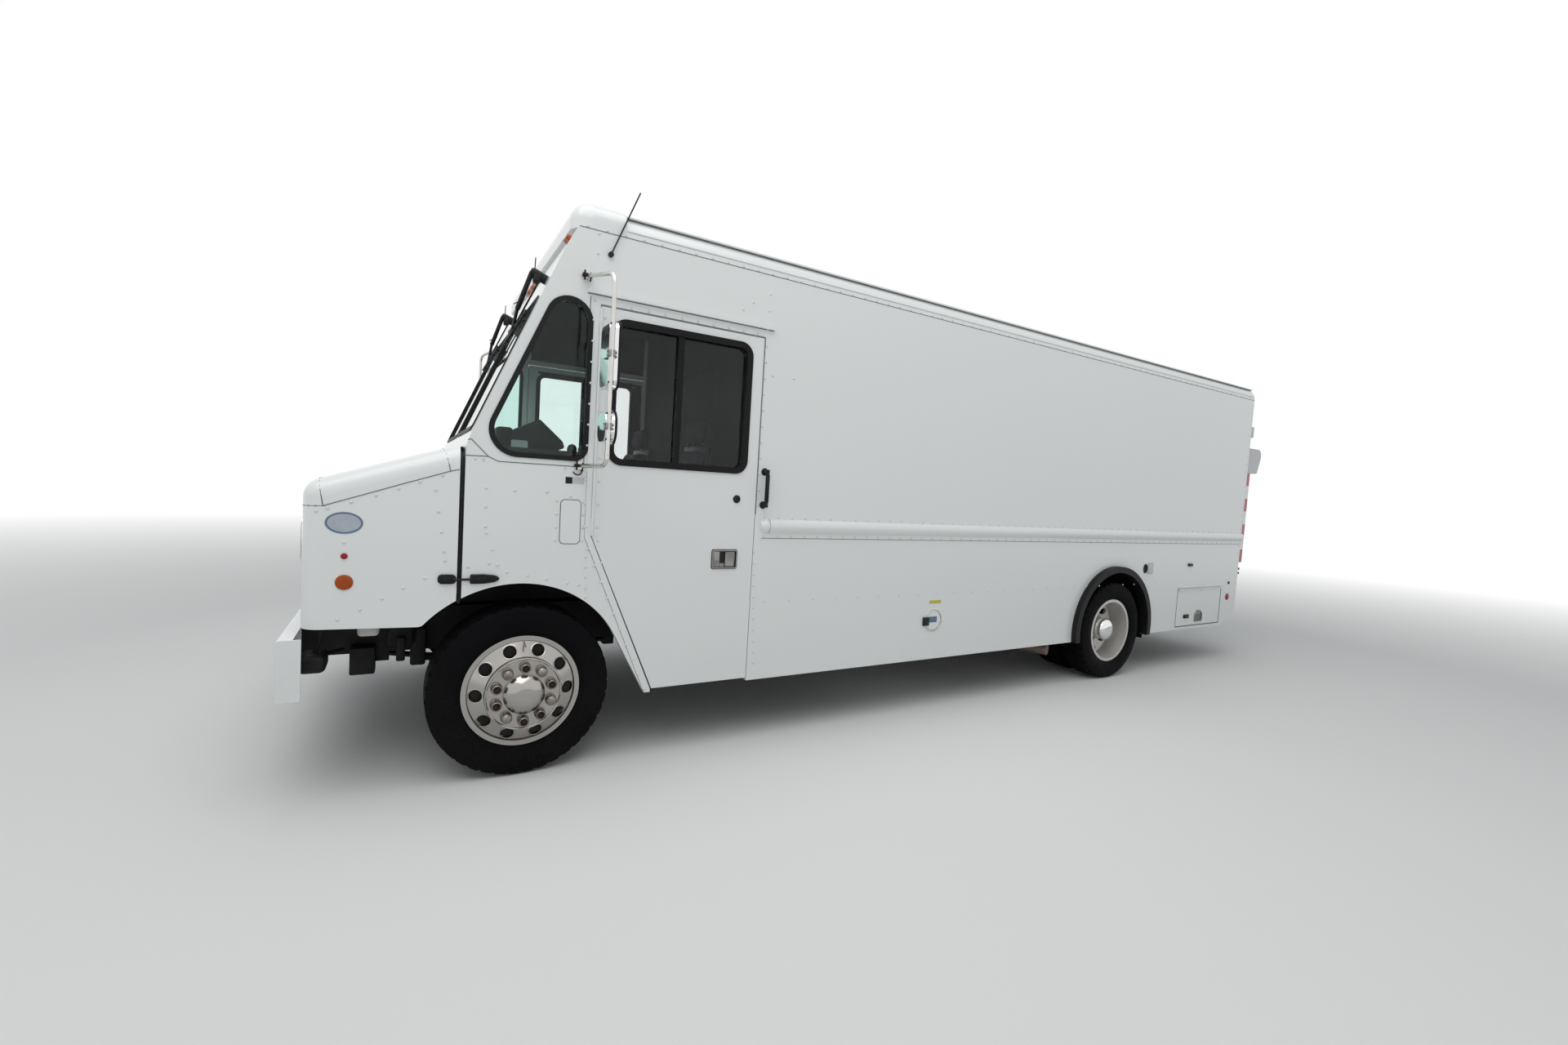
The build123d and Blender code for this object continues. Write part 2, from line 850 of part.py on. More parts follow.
# Hood pivot: a pin on each rail's bracket, a lug on the hood
pivot_setback = 17.0
hood_pivot = (hood_front + pivot_setback, frame_top + 15)
hood_bracket_width = 12.0
hood_bracket_radius = 18.0
hood_bracket_base = rail_base_z + 100
hood_pin_length = 36.0
hood_pin_radius = 10.0
hood_lug_radius = 20.0
hood_lug_width = 24.0
hood_bracket_x = rail_outer_x + hood_bracket_width
hood_lug_x = (hood_bracket_x + 6, hood_bracket_x + 6 + hood_lug_width)

# Cross members between the rails, and sills between frame and floor
cross_depth = 70.0
cross_base = rail_base_z + 115
cross_top = frame_top - 30
cross_stations = (
    frame_front + 138,
    well_front - 100,
    door_rear + 161,
    door_rear + 1161,
    door_rear + 2261,
    wheelbase - 683,
    wheelbase + 667,
    wheelbase + 1517,
    rear_face - 97,
)
sill_width = 50.0
sill_stations = (
    door_rear + 61,
    door_rear + 861,
    door_rear + 1661,
    door_rear + 2461,
    wheelbase - 733,
    wheelbase + 817,
    wheelbase + 1097,
    rear_face - 247,
    rear_face - 77,
)
cab_mount_width = 90.0
cab_mount_rear = door_rear - 9

with BuildPart() as cross_members:
    for station in cross_stations:
        slab(
            (0, rail_outer_x - rail_web),
            (station - cross_depth / 2, station + cross_depth / 2),
            (cross_base, cross_top),
        )
    for station in sill_stations:
        slab(
            (0, inner_half_width),
            (station - sill_width / 2, station + sill_width / 2),
            (frame_top, floor_base),
        )
    slab(
        (rail_outer_x - cab_mount_width / 2, rail_outer_x + cab_mount_width / 2),
        (wheelhouse_rear + cab_mount_width, cab_mount_rear),
        (frame_top, floor_base),
    )
    slab(
        (rail_outer_x, hood_bracket_x),
        (hood_pivot[0] - hood_bracket_radius, hood_pivot[0] + hood_bracket_radius),
        (hood_bracket_base, hood_pivot[1]),
    )
    rod((rail_outer_x, *hood_pivot), (hood_bracket_x, *hood_pivot), hood_bracket_radius)
    rod((hood_bracket_x, *hood_pivot), (hood_bracket_x + hood_pin_length, *hood_pivot), hood_pin_radius)
    mirror(about=Plane.YZ)

# Front axle: dropped I-section beam with kingpin eyes
beam_z = axle_z - 70
beam_height = 90.0
beam_depth = 90.0
beam_flange = 18.0
beam_web = 24.0
beam_bend_x = front_wheel_x - 425
eye_half = 60.0
eye_radius = 34.0
eye_inset = 62.0
beam_base = beam_z - 50
beam_top = beam_base + beam_height


def beam_outline(station):
    """Half of the dropped beam, seen from the front."""
    return outline(
        cross_plane(station),
        [
            (0, beam_base),
            (0, beam_top),
            (beam_bend_x, beam_top),
            (kingpin_x - eye_inset, axle_z + eye_half),
            (kingpin_x - eye_inset / 3, axle_z + eye_half),
            (kingpin_x - eye_inset / 3, axle_z - eye_half),
            (kingpin_x - eye_inset, axle_z - eye_half),
            (beam_bend_x, beam_base),
        ],
    )


with BuildPart() as front_axle:
    extrude(beam_outline(beam_depth / 2), amount=beam_depth)
    for face_station, depth in ((beam_depth / 2, beam_web), (-beam_web / 2, beam_web)):
        slab(
            (0, beam_bend_x - beam_flange),
            (face_station - (beam_depth - beam_web) / 2, face_station),
            (beam_base + beam_flange, beam_top - beam_flange),
            mode=Mode.SUBTRACT,
        )
    rod((kingpin_x, 0, axle_z - eye_half), (kingpin_x, 0, axle_z + eye_half), eye_radius)
    mirror(about=Plane.YZ)

# Leaf springs: (half length of a leaf, from the longest down) for each end of the van
leaf_thickness = 15.0
front_leaves = (640.0, 480.0, 320.0)
rear_leaves = (720.0, 600.0, 480.0, 360.0)
spring_rise = 60.0
hanger_length = 70.0
front_spring_z = beam_top
rear_spring_z = axle_z + 78
rear_hanger_top = frame_top - 80


def leaf_pack(x_range, station, base_z, halves):
    """Stack of curved leaves, the shortest at the bottom, all bent about one centre."""
    bend = (halves[0] ** 2 + spring_rise**2) / (2 * spring_rise)
    for index, half in enumerate(reversed(halves)):
        lower = bend - index * leaf_thickness
        upper = lower - leaf_thickness
        with BuildSketch(side_plane(x_range[0])) as leaf:
            with BuildLine():
                low_end = base_z + bend - sqrt(lower**2 - half**2)
                high_end = base_z + bend - sqrt(upper**2 - half**2)
                ThreePointArc(
                    (station - half, low_end), (station, base_z + bend - lower), (station + half, low_end)
                )
                Line((station + half, low_end), (station + half, high_end))
                ThreePointArc(
                    (station + half, high_end), (station, base_z + bend - upper), (station - half, high_end)
                )
                Line((station - half, high_end), (station - half, low_end))
            make_face()
        extrude(leaf.sketch, amount=x_range[1] - x_range[0])


with BuildPart() as leaf_springs:
    front_spring = (rail_outer_x - spring_width, rail_outer_x)
    leaf_pack(front_spring, 0, front_spring_z, front_leaves)
    for low in (-front_leaves[0] - hanger_length + leaf_thickness, front_leaves[0] - leaf_thickness):
        slab(front_spring, (low, low + hanger_length), (front_spring_z + spring_rise, rail_base_z))
    leaf_pack((rear_spring_inner, rear_spring_outer), wheelbase, rear_spring_z, rear_leaves)
    for low in (-rear_leaves[0] - hanger_length + leaf_thickness, rear_leaves[0] - leaf_thickness):
        slab(
            (rail_outer_x, rear_spring_outer),
            (wheelbase + low, wheelbase + low + hanger_length),
            (rear_spring_z + spring_rise, rear_hanger_top),
        )
    mirror(about=Plane.YZ)

# Engine behind the radiator, and the line from engine to rear axle
engine_front = -760.0
engine_rear = 420.0
engine_base = 560.0
engine_top = 1360.0
radiator_half = 420.0
radiator = (-905.0, -825.0)
radiator_top = 1450.0
drive_slope = 0.023
drive_z = 580.0
joint_radius = 62.0
shaft_radius = 50.0
joint_length = 60.0
pinion_length = 250.0
banjo_radius = 190.0
banjo_half = 70.0
banjo_cover = 125.0
banjo_shoulder = 120.0
banjo_horn = 330.0
carrier_nose = 200.0
spindle_radius = hub_bore_radius - seat_gap
spindle_end_x = rear_outer_x - 3
drum_radius = 205.0
drum_length = 176.0
backing_plate = 20.0
rear_drum_x = rear_mounting_x - disc_thickness - drum_length


def shaft_point(station):
    """Point of the drive line at a station."""
    return (0, station, drive_z - drive_slope * (station - engine_rear))


# Rear axle: banjo housing, tubes, spring pads, brake backing plates and spindles
with BuildPart() as rear_axle:
    carrier = outline(
        side_plane(0),
        [
            (wheelbase - carrier_nose, axle_z),
            (wheelbase - carrier_nose, axle_z + joint_radius),
            (wheelbase - banjo_half, axle_z + banjo_radius),
            (wheelbase + banjo_half, axle_z + banjo_radius),
            (wheelbase + banjo_cover, axle_z + joint_radius),
            (wheelbase + banjo_cover, axle_z),
        ],
    )
    revolve(carrier, axis=Axis((0, front_axle_y + wheelbase, axle_z), (0, 1, 0)))
    horns = outline(
        cross_plane(wheelbase),
        [
            (-banjo_horn, axle_z),
            (-banjo_horn, axle_z + spindle_radius),
            (-banjo_half, axle_z + banjo_shoulder),
            (banjo_half, axle_z + banjo_shoulder),
            (banjo_horn, axle_z + spindle_radius),
            (banjo_horn, axle_z),
        ],
    )
    revolve(horns, axis=Axis((0, front_axle_y + wheelbase, axle_z), (1, 0, 0)))
    rod(shaft_point(wheelbase - pinion_length), shaft_point(wheelbase - joint_length), joint_radius)
    rod((-spindle_end_x, wheelbase, axle_z), (spindle_end_x, wheelbase, axle_z), spindle_radius)
    for side in (1, -1):
        slab(
            sorted((side * rear_spring_inner, side * rear_spring_outer)),
            (wheelbase - hanger_length, wheelbase + hanger_length),
            (axle_z - spindle_radius, rear_spring_z),
        )
        rod(
            (side * (rear_drum_x - move_gap - backing_plate), wheelbase, axle_z),
            (side * (rear_drum_x - move_gap), wheelbase, axle_z),
            drum_radius,
        )

with BuildPart() as engine_block:
    slab((-engine_half, engine_half), (engine_front, engine_rear), (engine_base, engine_top))
    rod(shaft_point(engine_rear), shaft_point(engine_rear + joint_length), joint_radius)
    slab((-radiator_half, radiator_half), radiator, (frame_top, radiator_top))

with BuildPart() as drive_shaft:
    rod(shaft_point(engine_rear + joint_length), shaft_point(wheelbase - pinion_length), shaft_radius)

# Fuel tank on the left, held by brackets and straps, with its filler neck
tank_front = 2400.0
tank_rear = 3500.0
tank_width = 540.0
tank_height = 380.0
tank_radius = 90.0
tank_z = 610.0
tank_gap = 43.0
tank_inner_x = rail_outer_x + tank_gap
tank_x = tank_inner_x + tank_width / 2
strap_width = 60.0
strap_proud = 4.0
filler_radius = 38.0
strap_stations = (tank_front + 130, tank_rear - 130)

with BuildPart() as fuel_tank:
    with BuildSketch(cross_plane(tank_rear)):
        with Locations((tank_x, tank_z)):
            RectangleRounded(tank_width, tank_height, tank_radius)
    extrude(amount=tank_rear - tank_front)
    for station in strap_stations:
        with BuildSketch(cross_plane(station + strap_width / 2)) as strap:
            with Locations((tank_x, tank_z)):
                RectangleRounded(tank_width + 2 * strap_proud, tank_height + 2 * strap_proud, tank_radius)
        extrude(strap.sketch, amount=strap_width)
        slab(
            (rail_outer_x, tank_inner_x + strap_width),
            (station - strap_width / 2, station + strap_width / 2),
            (tank_z - strap_width, tank_z + strap_width),
        )
    rod(
        (tank_x, fuel_door_station, fuel_door_z),
        (inner_half_width, fuel_door_station, fuel_door_z),
        filler_radius,
    )

# Exhaust: muffler on the right, and a tail pipe that crosses under the drive shaft to the left skirt
muffler_x = -720.0
muffler_z = 600.0
muffler_radius = 140.0
muffler = (1700.0, 2700.0)
pipe_radius = 50.0
pipe_bend = 120.0
pipe_turn = wheelbase - 1733
pipe_dive = (muffler_x + 160, wheelbase - 1453, 345.0)
pipe_exit = (body_half_width - 68, wheelbase - 833, 322.0)
hanger_stations = (1900.0, 2500.0, 3300.0)
hanger_width = 50.0

with BuildPart() as exhaust:
    rod((muffler_x, muffler[0], muffler_z), (muffler_x, muffler[1], muffler_z), muffler_radius)
    tube(
        [
            (muffler_x, muffler[1] - pipe_radius, muffler_z),
            (muffler_x, pipe_turn, muffler_z),
            pipe_dive,
            pipe_exit,
        ],
        pipe_radius,
        pipe_bend,
    )
    for station in hanger_stations:
        slab(
            (muffler_x, -rail_outer_x),
            (station - hanger_width / 2, station + hanger_width / 2),
            (muffler_z - hanger_width / 2, muffler_z + hanger_width / 2),
        )

# Bumpers: a wrapped channel in front, a step behind
bumper_inset = 42.0
bumper_base = 520.0
bumper_rise = 8.0
bumper_wrap = 100.0
bumper_lip = 68.0
bumper_sheet = 8.0
bumper_half = body_half_width - bumper_inset
bumper_top = frame_top + bumper_rise

with BuildPart() as front_bumper:
    slab((-bumper_half, bumper_half), (bumper_front, bumper_front + bumper_wrap), (bumper_base, bumper_top))
    bumper_posts = front_bumper.edges().filter_by(Axis.Z).group_by(Axis.Y)[0]
    bumper_brow = front_bumper.edges().filter_by(Axis.X).group_by(Axis.Y)[0].sort_by(Axis.Z)[-1]
    fillet(list(bumper_posts) + [bumper_brow], radius=bumper_radius)
    offset(
        amount=-bumper_sheet,
        openings=[front_bumper.faces().sort_by(Axis.Y)[-1], front_bumper.faces().sort_by(Axis.Z)[0]],
    )
    slab(
        (bumper_sheet - bumper_half, bumper_half - bumper_sheet),
        (bumper_front + bumper_lip, bumper_front + bumper_wrap),
        (bumper_top - bumper_sheet, bumper_top),
        mode=Mode.SUBTRACT,
    )

step_half = body_half_width - 108
step_depth = 190.0
step_base = 470.0
step_top = 600.0
step_wall = 10.0
step_bracket = 180.0
plate_hole_spacing = 178.0
plate_hole_radius = 3.5
plate_z = (step_base + step_top) / 2

with BuildPart() as rear_bumper:
    extrude(
        outline(
            side_plane(-step_half),
            [
                (frame_rear, step_top),
                (frame_rear + step_depth, step_top),
                (frame_rear + step_depth, step_base),
                (frame_rear, step_base),
                (frame_rear, step_base + step_wall),
                (frame_rear + step_depth - step_wall, step_base + step_wall),
                (frame_rear + step_depth - step_wall, step_top - step_wall),
                (frame_rear, step_top - step_wall),
            ],
        ),
        amount=2 * step_half,
    )
    for side in (1, -1):
        slab(
            sorted((side * rail_outer_x, side * (rail_outer_x + step_wall))),
            (frame_rear - step_bracket, frame_rear + step_bracket),
            (rail_base_z, step_top - step_wall),
        )
        hole_x = side * plate_hole_spacing / 2
        rod(
            (hole_x, frame_rear + step_depth, plate_z),
            (hole_x, frame_rear + step_depth - step_wall, plate_z),
            plate_hole_radius,
            mode=Mode.SUBTRACT,
        )

# Trim rails: half-round belt rails on their flanges, drip rails over doors and locker
belt_front = door_rear + 33
belt_rear = rear_face - 7
belt_flange = (1311.0, 1453.0)
belt_flange_thickness = 4.0
belt_centre_z = 1386.0
belt_half_height = 45.0
belt_depth = 30.0
belt_nose = 42.0
belt_nose_share = (1.0, 0.62)
drip_depth = 22.0
drip_height = 20.0
drip_rise = 52.0
belt_x = body_half_width + belt_flange_thickness


def belt_section(station, share):
    """Half-round rail section, at a share of its full size."""
    with BuildSketch(cross_plane(station)) as face:
        with BuildLine():
            ThreePointArc(
                (belt_x, belt_centre_z - share * belt_half_height),
                (belt_x + share * belt_depth, belt_centre_z),
                (belt_x, belt_centre_z + share * belt_half_height),
            )
            Line(
                (belt_x, belt_centre_z + share * belt_half_height),
                (belt_x, belt_centre_z - share * belt_half_height),
            )
        make_face()
    return face.sketch


with BuildPart() as side_rails:
    slab((body_half_width, belt_x), (belt_front, belt_rear), belt_flange)
    extrude(belt_section(belt_rear, 1), amount=belt_rear - belt_front - belt_nose)
    loft(
        sections=[
            belt_section(belt_front + belt_nose, belt_nose_share[0]),
            belt_section(belt_front + move_gap, belt_nose_share[1]),
        ]
    )
    slab(
        (body_half_width, body_half_width + drip_depth),
        (door_front - 2 * hinge_leaf_width, door_rear + 59),
        (door_head_z + drip_rise, door_head_z + drip_rise + drip_height),
    )
    mirror(about=Plane.YZ)
    slab(
        (body_half_width, body_half_width + drip_depth),
        (locker_front - drip_height, locker_rear + drip_height),
        (locker_hinge_z + 23, locker_hinge_z + 23 + sheet),
    )

with BuildPart() as arch_flares:
    with BuildSketch(side_plane(body_half_width)):
        with Locations((rear_arch_station, rear_arch_z)):
            Circle(rear_arch_radius + flare_band)
            Circle(rear_arch_radius - flare_lip, mode=Mode.SUBTRACT)
        with Locations((rear_arch_station, skirt_z - rear_arch_radius)):
            Rectangle(3 * rear_arch_radius, 2 * rear_arch_radius, mode=Mode.SUBTRACT)
    extrude(amount=flare_depth)
    mirror(about=Plane.YZ)

# Mirrors on tube brackets: columns of the table are side, station of the tube, stations of both feet
mirror_x = body_half_width + 352
mirror_foot_low = 1690.0
mirror_foot_high = 2700.0
mirror_tube_radius = 11.0
mirror_bend = 60.0
mirror_foot_half = 20.0
mirror_foot_depth = 20.0
mirror_drop = 60.0
mirror_sides = ((1, 292.0, 236.0, 236.0), (-1, -20.0, 120.0, -70.0))
mirror_heads_table = ((2080.0, 2420.0, 95.0, 45.0), (1800.0, 1980.0, 95.0, 70.0))
mirror_head_depth = 52.0
mirror_head_rear = 45.0
mirror_clamp_reach = 90.0

with BuildPart() as mirror_arms:
    for side, tube_station, high_station, low_station in mirror_sides:
        for foot_station, height in ((high_station, mirror_foot_high), (low_station, mirror_foot_low)):
            slab(
                sorted((side * body_half_width, side * (body_half_width + mirror_foot_depth))),
                (foot_station - mirror_foot_half, foot_station + mirror_foot_half),
                (height - mirror_foot_half, height + mirror_foot_half),
            )
        foot_x = side * (body_half_width + mirror_foot_depth / 2)
        tube(
            [
                (foot_x, high_station, mirror_foot_high),
                (side * mirror_x, tube_station, mirror_foot_high - mirror_drop),
                (side * mirror_x, tube_station, mirror_foot_low),
                (foot_x, low_station, mirror_foot_low),
            ],
            mirror_tube_radius,
            mirror_bend,
        )

# Mirror heads inboard of the tubes: columns are lowest and highest point, half width, corner radius
with BuildPart() as mirror_heads:
    for side, tube_station, _, _ in mirror_sides:
        clamp_x = mirror_x - mirror_tube_radius - seat_gap
        for low, high, half, radius in mirror_heads_table:
            plate = rounded_plate(
                cross_plane(tube_station + mirror_head_rear),
                (side * (clamp_x - half) - half, low),
                (side * (clamp_x - half) + half, high),
                radius,
            )
            extrude(plate, amount=mirror_head_depth, taper=18)
            slab(
                sorted((side * (mirror_x - mirror_clamp_reach), side * clamp_x)),
                (tube_station - mirror_foot_half, tube_station + mirror_foot_half),
                ((low + high) / 2 - mirror_foot_half, (low + high) / 2 + mirror_foot_half),
            )

# Grab handles, antenna and wipers
handle_station = door_rear + 50
handle_base_z = 1506.0
handle_top_z = 1745.0
handle_standoff = 45.0
handle_radius = 11.0
handle_inset = 14.0
antenna_foot = (357.0, 2840.0)
antenna_tip = (502.0, 3204.0)
antenna_radius = 4.0
antenna_base_radius = 14.0
antenna_base_height = 18.0
wiper_pivots_x = (inner_half_width - 158, pane_inner_x - 218)
wiper_pivot_z = screen_top_z + 98
wiper_base_radius = 26.0
wiper_standoff = 80.0
wiper_arm_radius = 9.0
wiper_elbow = (60.0, 190.0, 60.0)
wiper_blade_reach = (220.0, 250.0, 32.0)
wiper_blade_half = 260.0
wiper_blade_drop = 50.0
wiper_blade_radius = 7.0


with BuildPart() as cab_fittings:
    for side in (1, -1):
        handle_x = side * (body_half_width + handle_standoff)
        rod((handle_x, handle_station, handle_base_z), (handle_x, handle_station, handle_top_z), handle_radius)
        for height in (handle_base_z + handle_inset, handle_top_z - handle_inset):
            rod(
                (side * body_half_width, handle_station, height),
                (handle_x, handle_station, height),
                handle_radius,
            )
    antenna_x = body_half_width + antenna_base_height
    rod((body_half_width, *antenna_foot), (antenna_x, *antenna_foot), antenna_base_radius)
    rod(
        (antenna_x - antenna_radius, *antenna_foot),
        (antenna_x - antenna_radius, *antenna_tip),
        antenna_radius,
    )
    for pivot_x in wiper_pivots_x:
        head = screen_point(pivot_x, wiper_pivot_z, wiper_standoff)
        elbow = screen_point(pivot_x - wiper_elbow[0], wiper_pivot_z - wiper_elbow[1], wiper_elbow[2])
        blade_x = pivot_x - wiper_blade_reach[0]
        blade_z = wiper_pivot_z - wiper_blade_reach[1]
        blade = screen_point(blade_x, blade_z, wiper_blade_reach[2])
        rod(screen_point(pivot_x, wiper_pivot_z, 0), head, wiper_base_radius)
        rod(head, elbow, wiper_base_radius / 2)
        rod(elbow, blade, wiper_arm_radius)
        rod(
            screen_point(blade_x + wiper_blade_half, blade_z + wiper_blade_drop, wiper_blade_reach[2] - 8),
            screen_point(blade_x - wiper_blade_half, blade_z - wiper_blade_drop, wiper_blade_reach[2] - 8),
            wiper_blade_radius,
        )

# Mud flaps behind the rear tyres
flap_station = wheelbase + tyre_radius + 175
flap_thickness = 8.0
flap_base_z = 330.0
flap_half = 250.0

with BuildPart() as mud_flaps:
    slab(
        (rear_mounting_x - flap_half, min(rear_mounting_x + flap_half, inner_half_width - flap_thickness)),
        (flap_station, flap_station + flap_thickness),
        (flap_base_z, floor_base),
    )
    mirror(about=Plane.YZ)

# Housing, lamp block and camera on the rear left corner
housing_x = (body_half_width - 188, body_half_width - 12)
housing_base_z = 2136.0
housing_top_z = 2415.0
housing_lip = 10.0
housing_taper = 75.0
housing_radius = 70.0
knob_z = 2270.0
knob_radius = 22.0
block_z = (2540.0, 2660.0)
block_depth = 85.0
camera_z = 2480.0
camera_length = 105.0
camera_radius = 24.0

with BuildPart() as rear_housing:
    with BuildSketch(side_plane(housing_x[0])) as housing_face:
        with BuildLine():
            Polyline(
                (rear_face, housing_base_z),
                (rear_box_end - housing_taper, housing_base_z),
                (rear_box_end - housing_lip, knob_z + 2 * knob_radius),
                (rear_box_end - housing_lip, housing_top_z),
                (rear_face, housing_top_z),
                close=True,
            )
        make_face()
        crown = housing_face.vertices().sort_by_distance(Vector(rear_box_end, housing_top_z, 0))[0]
        fillet(crown, radius=housing_radius)
    extrude(housing_face.sketch, amount=housing_x[1] - housing_x[0])
    housing_mid = (housing_x[0] + housing_x[1]) / 2
    rod((housing_mid, rear_box_end - housing_taper, knob_z), (housing_mid, rear_box_end, knob_z), knob_radius)
    slab((housing_mid, housing_x[1]), (rear_face, rear_face + block_depth), block_z)
    rod((housing_mid, rear_face, camera_z), (housing_mid, rear_face + camera_length, camera_z), camera_radius)

# Locker box behind the body side and its door
locker_depth = 458.0
locker_wall = 20.0
locker_door_thickness = 30.0

with BuildPart() as locker_box:
    slab(
        (inner_half_width - locker_depth, inner_half_width),
        (locker_front - locker_wall, locker_rear + locker_wall),
        (locker_base_z - locker_wall / 2, frame_top),
    )
    slab(
        (inner_half_width - locker_depth + locker_wall, inner_half_width),
        (locker_front, locker_rear),
        (locker_base_z, frame_top - locker_wall),
        mode=Mode.SUBTRACT,
    )

with BuildPart() as locker_door:
    slab(
        (body_half_width - locker_door_thickness, body_half_width),
        (locker_front + move_gap, locker_rear - move_gap),
        (locker_base_z + move_gap, locker_top_z - move_gap),
    )
    for low, high in locker_hinge_moving:
        slab(
            (body_half_width, body_half_width + hinge_leaf),
            (low, high),
            (locker_hinge_z - hinge_leaf_width, locker_hinge_z - 4),
        )
    hinge_barrels(locker_hinge_point, locker_hinge_moving)

# Hood: tapered shell with rounded edges, open below and behind
hood_skin = 25.0
hood_base = frame_top + 42
hood_top_rear = screen_base_z - 66
hood_drop = 227.0
hood_side_gap = 8.0
hood_taper = 85.0
hood_radius = 90.0
hood_corner_radius = 36.0
hood_rear_half = body_half_width - hood_side_gap
hood_front_half = hood_rear_half - hood_taper
hood_top_nose = hood_top_rear - hood_drop
grille_half = 520.0
grille_z = (930.0, 1400.0)
lamp_inset = 105.0
lamp_width = 240.0
lamp_x = (hood_front_half - lamp_inset - lamp_width, hood_front_half - lamp_inset)
lamp_z = (1140.0, 1360.0)
lamp_radius = 40.0

with BuildPart() as hood:
    extrude(
        outline(
            side_plane(-hood_rear_half),
            [
                (hood_rear, hood_base),
                (hood_rear, hood_top_rear),
                (hood_front, hood_top_nose),
                (hood_front, hood_base),
            ],
        ),
        amount=2 * hood_rear_half,
    )
    for side in (1, -1):
        extrude(
            outline(
                level_plane(hood_base),
                [
                    (side * hood_rear_half, hood_rear),
                    (side * hood_front_half, hood_front),
                    (side * body_half_width, hood_front),
                    (side * body_half_width, hood_rear),
                ],
            ),
            amount=hood_top_rear - hood_base,
            mode=Mode.SUBTRACT,
        )
    hood_nose = hood.edges().filter_by(Axis.X).group_by(Axis.Y)[0].sort_by(Axis.Z)[-1]
    hood_rims = [e for e in hood.faces().sort_by(Axis.Z)[-1].edges() if abs((e @ 0).Y - (e @ 1).Y) > hood_radius]
    hood_posts = hood.edges().filter_by(Axis.Z).group_by(Axis.Y)[0]
    fillet([hood_nose] + hood_rims + list(hood_posts), radius=hood_radius)
    offset(amount=-hood_skin, openings=[hood.faces().sort_by(Axis.Y)[-1], hood.faces().sort_by(Axis.Z)[0]])
    extrude(arch_cut(-body_half_width), amount=2 * body_half_width, mode=Mode.SUBTRACT)
    arch_corners = [
        e
        for e in hood.edges().filter_by(Axis.X)
        if e.length < 2 * hood_skin and abs(e.center().Z - hood_base) < move_gap
    ]
    fillet(arch_corners, radius=hood_corner_radius)
    slab(
        (-grille_half, grille_half),
        (hood_front, hood_front + hood_skin),
        grille_z,
        mode=Mode.SUBTRACT,
    )
    for side in (1, -1):
        pocket = rounded_plate(
            cross_plane(hood_front + hood_skin),
            (side * lamp_x[0], lamp_z[0]),
            (side * lamp_x[1], lamp_z[1]),
            lamp_radius,
        )
        extrude(pocket, amount=hood_skin, mode=Mode.SUBTRACT)
        xs = sorted((side * hood_lug_x[0], side * hood_lug_x[1]))
        slab(
            xs,
            (hood_front + 2, hood_pivot[0] + hood_lug_radius),
            (hood_pivot[1], hood_base + 3 * hood_lug_radius),
        )
        rod((xs[0], *hood_pivot), (xs[1], *hood_pivot), hood_lug_radius)
        rod((xs[0], *hood_pivot), (xs[1], *hood_pivot), hood_pin_radius + seat_gap, mode=Mode.SUBTRACT)

# Grille: a frame with level bars and two upright struts
grille_frame = 28.0
grille_thickness = 12.0
grille_setback = 4.0
grille_bars = 7
grille_bar_height = 24.0
grille_plane = cross_plane(hood_front + grille_setback + grille_thickness)
grille_height = grille_z[1] - grille_z[0]
grille_pitch = (grille_height - 2 * grille_frame) / (grille_bars + 1)

with BuildPart() as grille:
    with BuildSketch(grille_plane):
        with Locations((0, (grille_z[0] + grille_z[1]) / 2)):
            Rectangle(2 * grille_half, grille_height)
            Rectangle(2 * grille_half - 2 * grille_frame, grille_height - 2 * grille_frame, mode=Mode.SUBTRACT)
            with GridLocations(0, grille_pitch, 1, grille_bars):
                Rectangle(2 * grille_half, grille_bar_height)
            with GridLocations(2 * grille_half / 3, 0, 2, 1):
                Rectangle(grille_frame, grille_height)
    extrude(amount=grille_thickness)

# Headlamps: a bucket in each pocket behind a proud lens
lamp_depth = 80.0
lamp_proud = 14.0
lamp_bezel = 10.0

with BuildPart() as headlamps:
    for side in (1, -1):
        bucket = rounded_plate(
            cross_plane(hood_front + lamp_depth),
            (side * lamp_x[0] + side * lamp_bezel, lamp_z[0] + lamp_bezel),
            (side * lamp_x[1] - side * lamp_bezel, lamp_z[1] - lamp_bezel),
            lamp_radius - lamp_bezel,
        )
        extrude(bucket, amount=lamp_depth)
        lens = rounded_plate(
            cross_plane(hood_front),
            (side * lamp_x[0] - side * lamp_bezel, lamp_z[0] - lamp_bezel),
            (side * lamp_x[1] + side * lamp_bezel, lamp_z[1] + lamp_bezel),
            lamp_radius + lamp_bezel,
        )
        extrude(lens, amount=lamp_proud, taper=30)

# Dashboard with the steering column; the wheel's axis leans back
driver_inset = 558.0
driver_x = inner_half_width - driver_inset
steering_station = 300.0
steering_z = 1560.0
steering_rise = 222.0
steering_fall = 102.5
steering_hub_radius = 55.0
steering_hub_half = 14.0
steering_radius = 211.0
grip_radius = 14.0
spoke_width = 34.0
spoke_thickness = 14.0
column_length = 330.0
column_radius = 30.0
dash_half = inner_half_width - 58
dash_base = 1420.0
dash_top = 1680.0
dash_rear = 70.0
binnacle_half = 230.0
binnacle_rise = 70.0

steering_base = Vector(driver_x, front_axle_y + steering_station, steering_z)
steering_normal = Vector(0, steering_rise, steering_fall).normalized()
column_top = steering_base - steering_normal * (steering_hub_half + seat_gap)
column_foot = steering_base - steering_normal * column_length

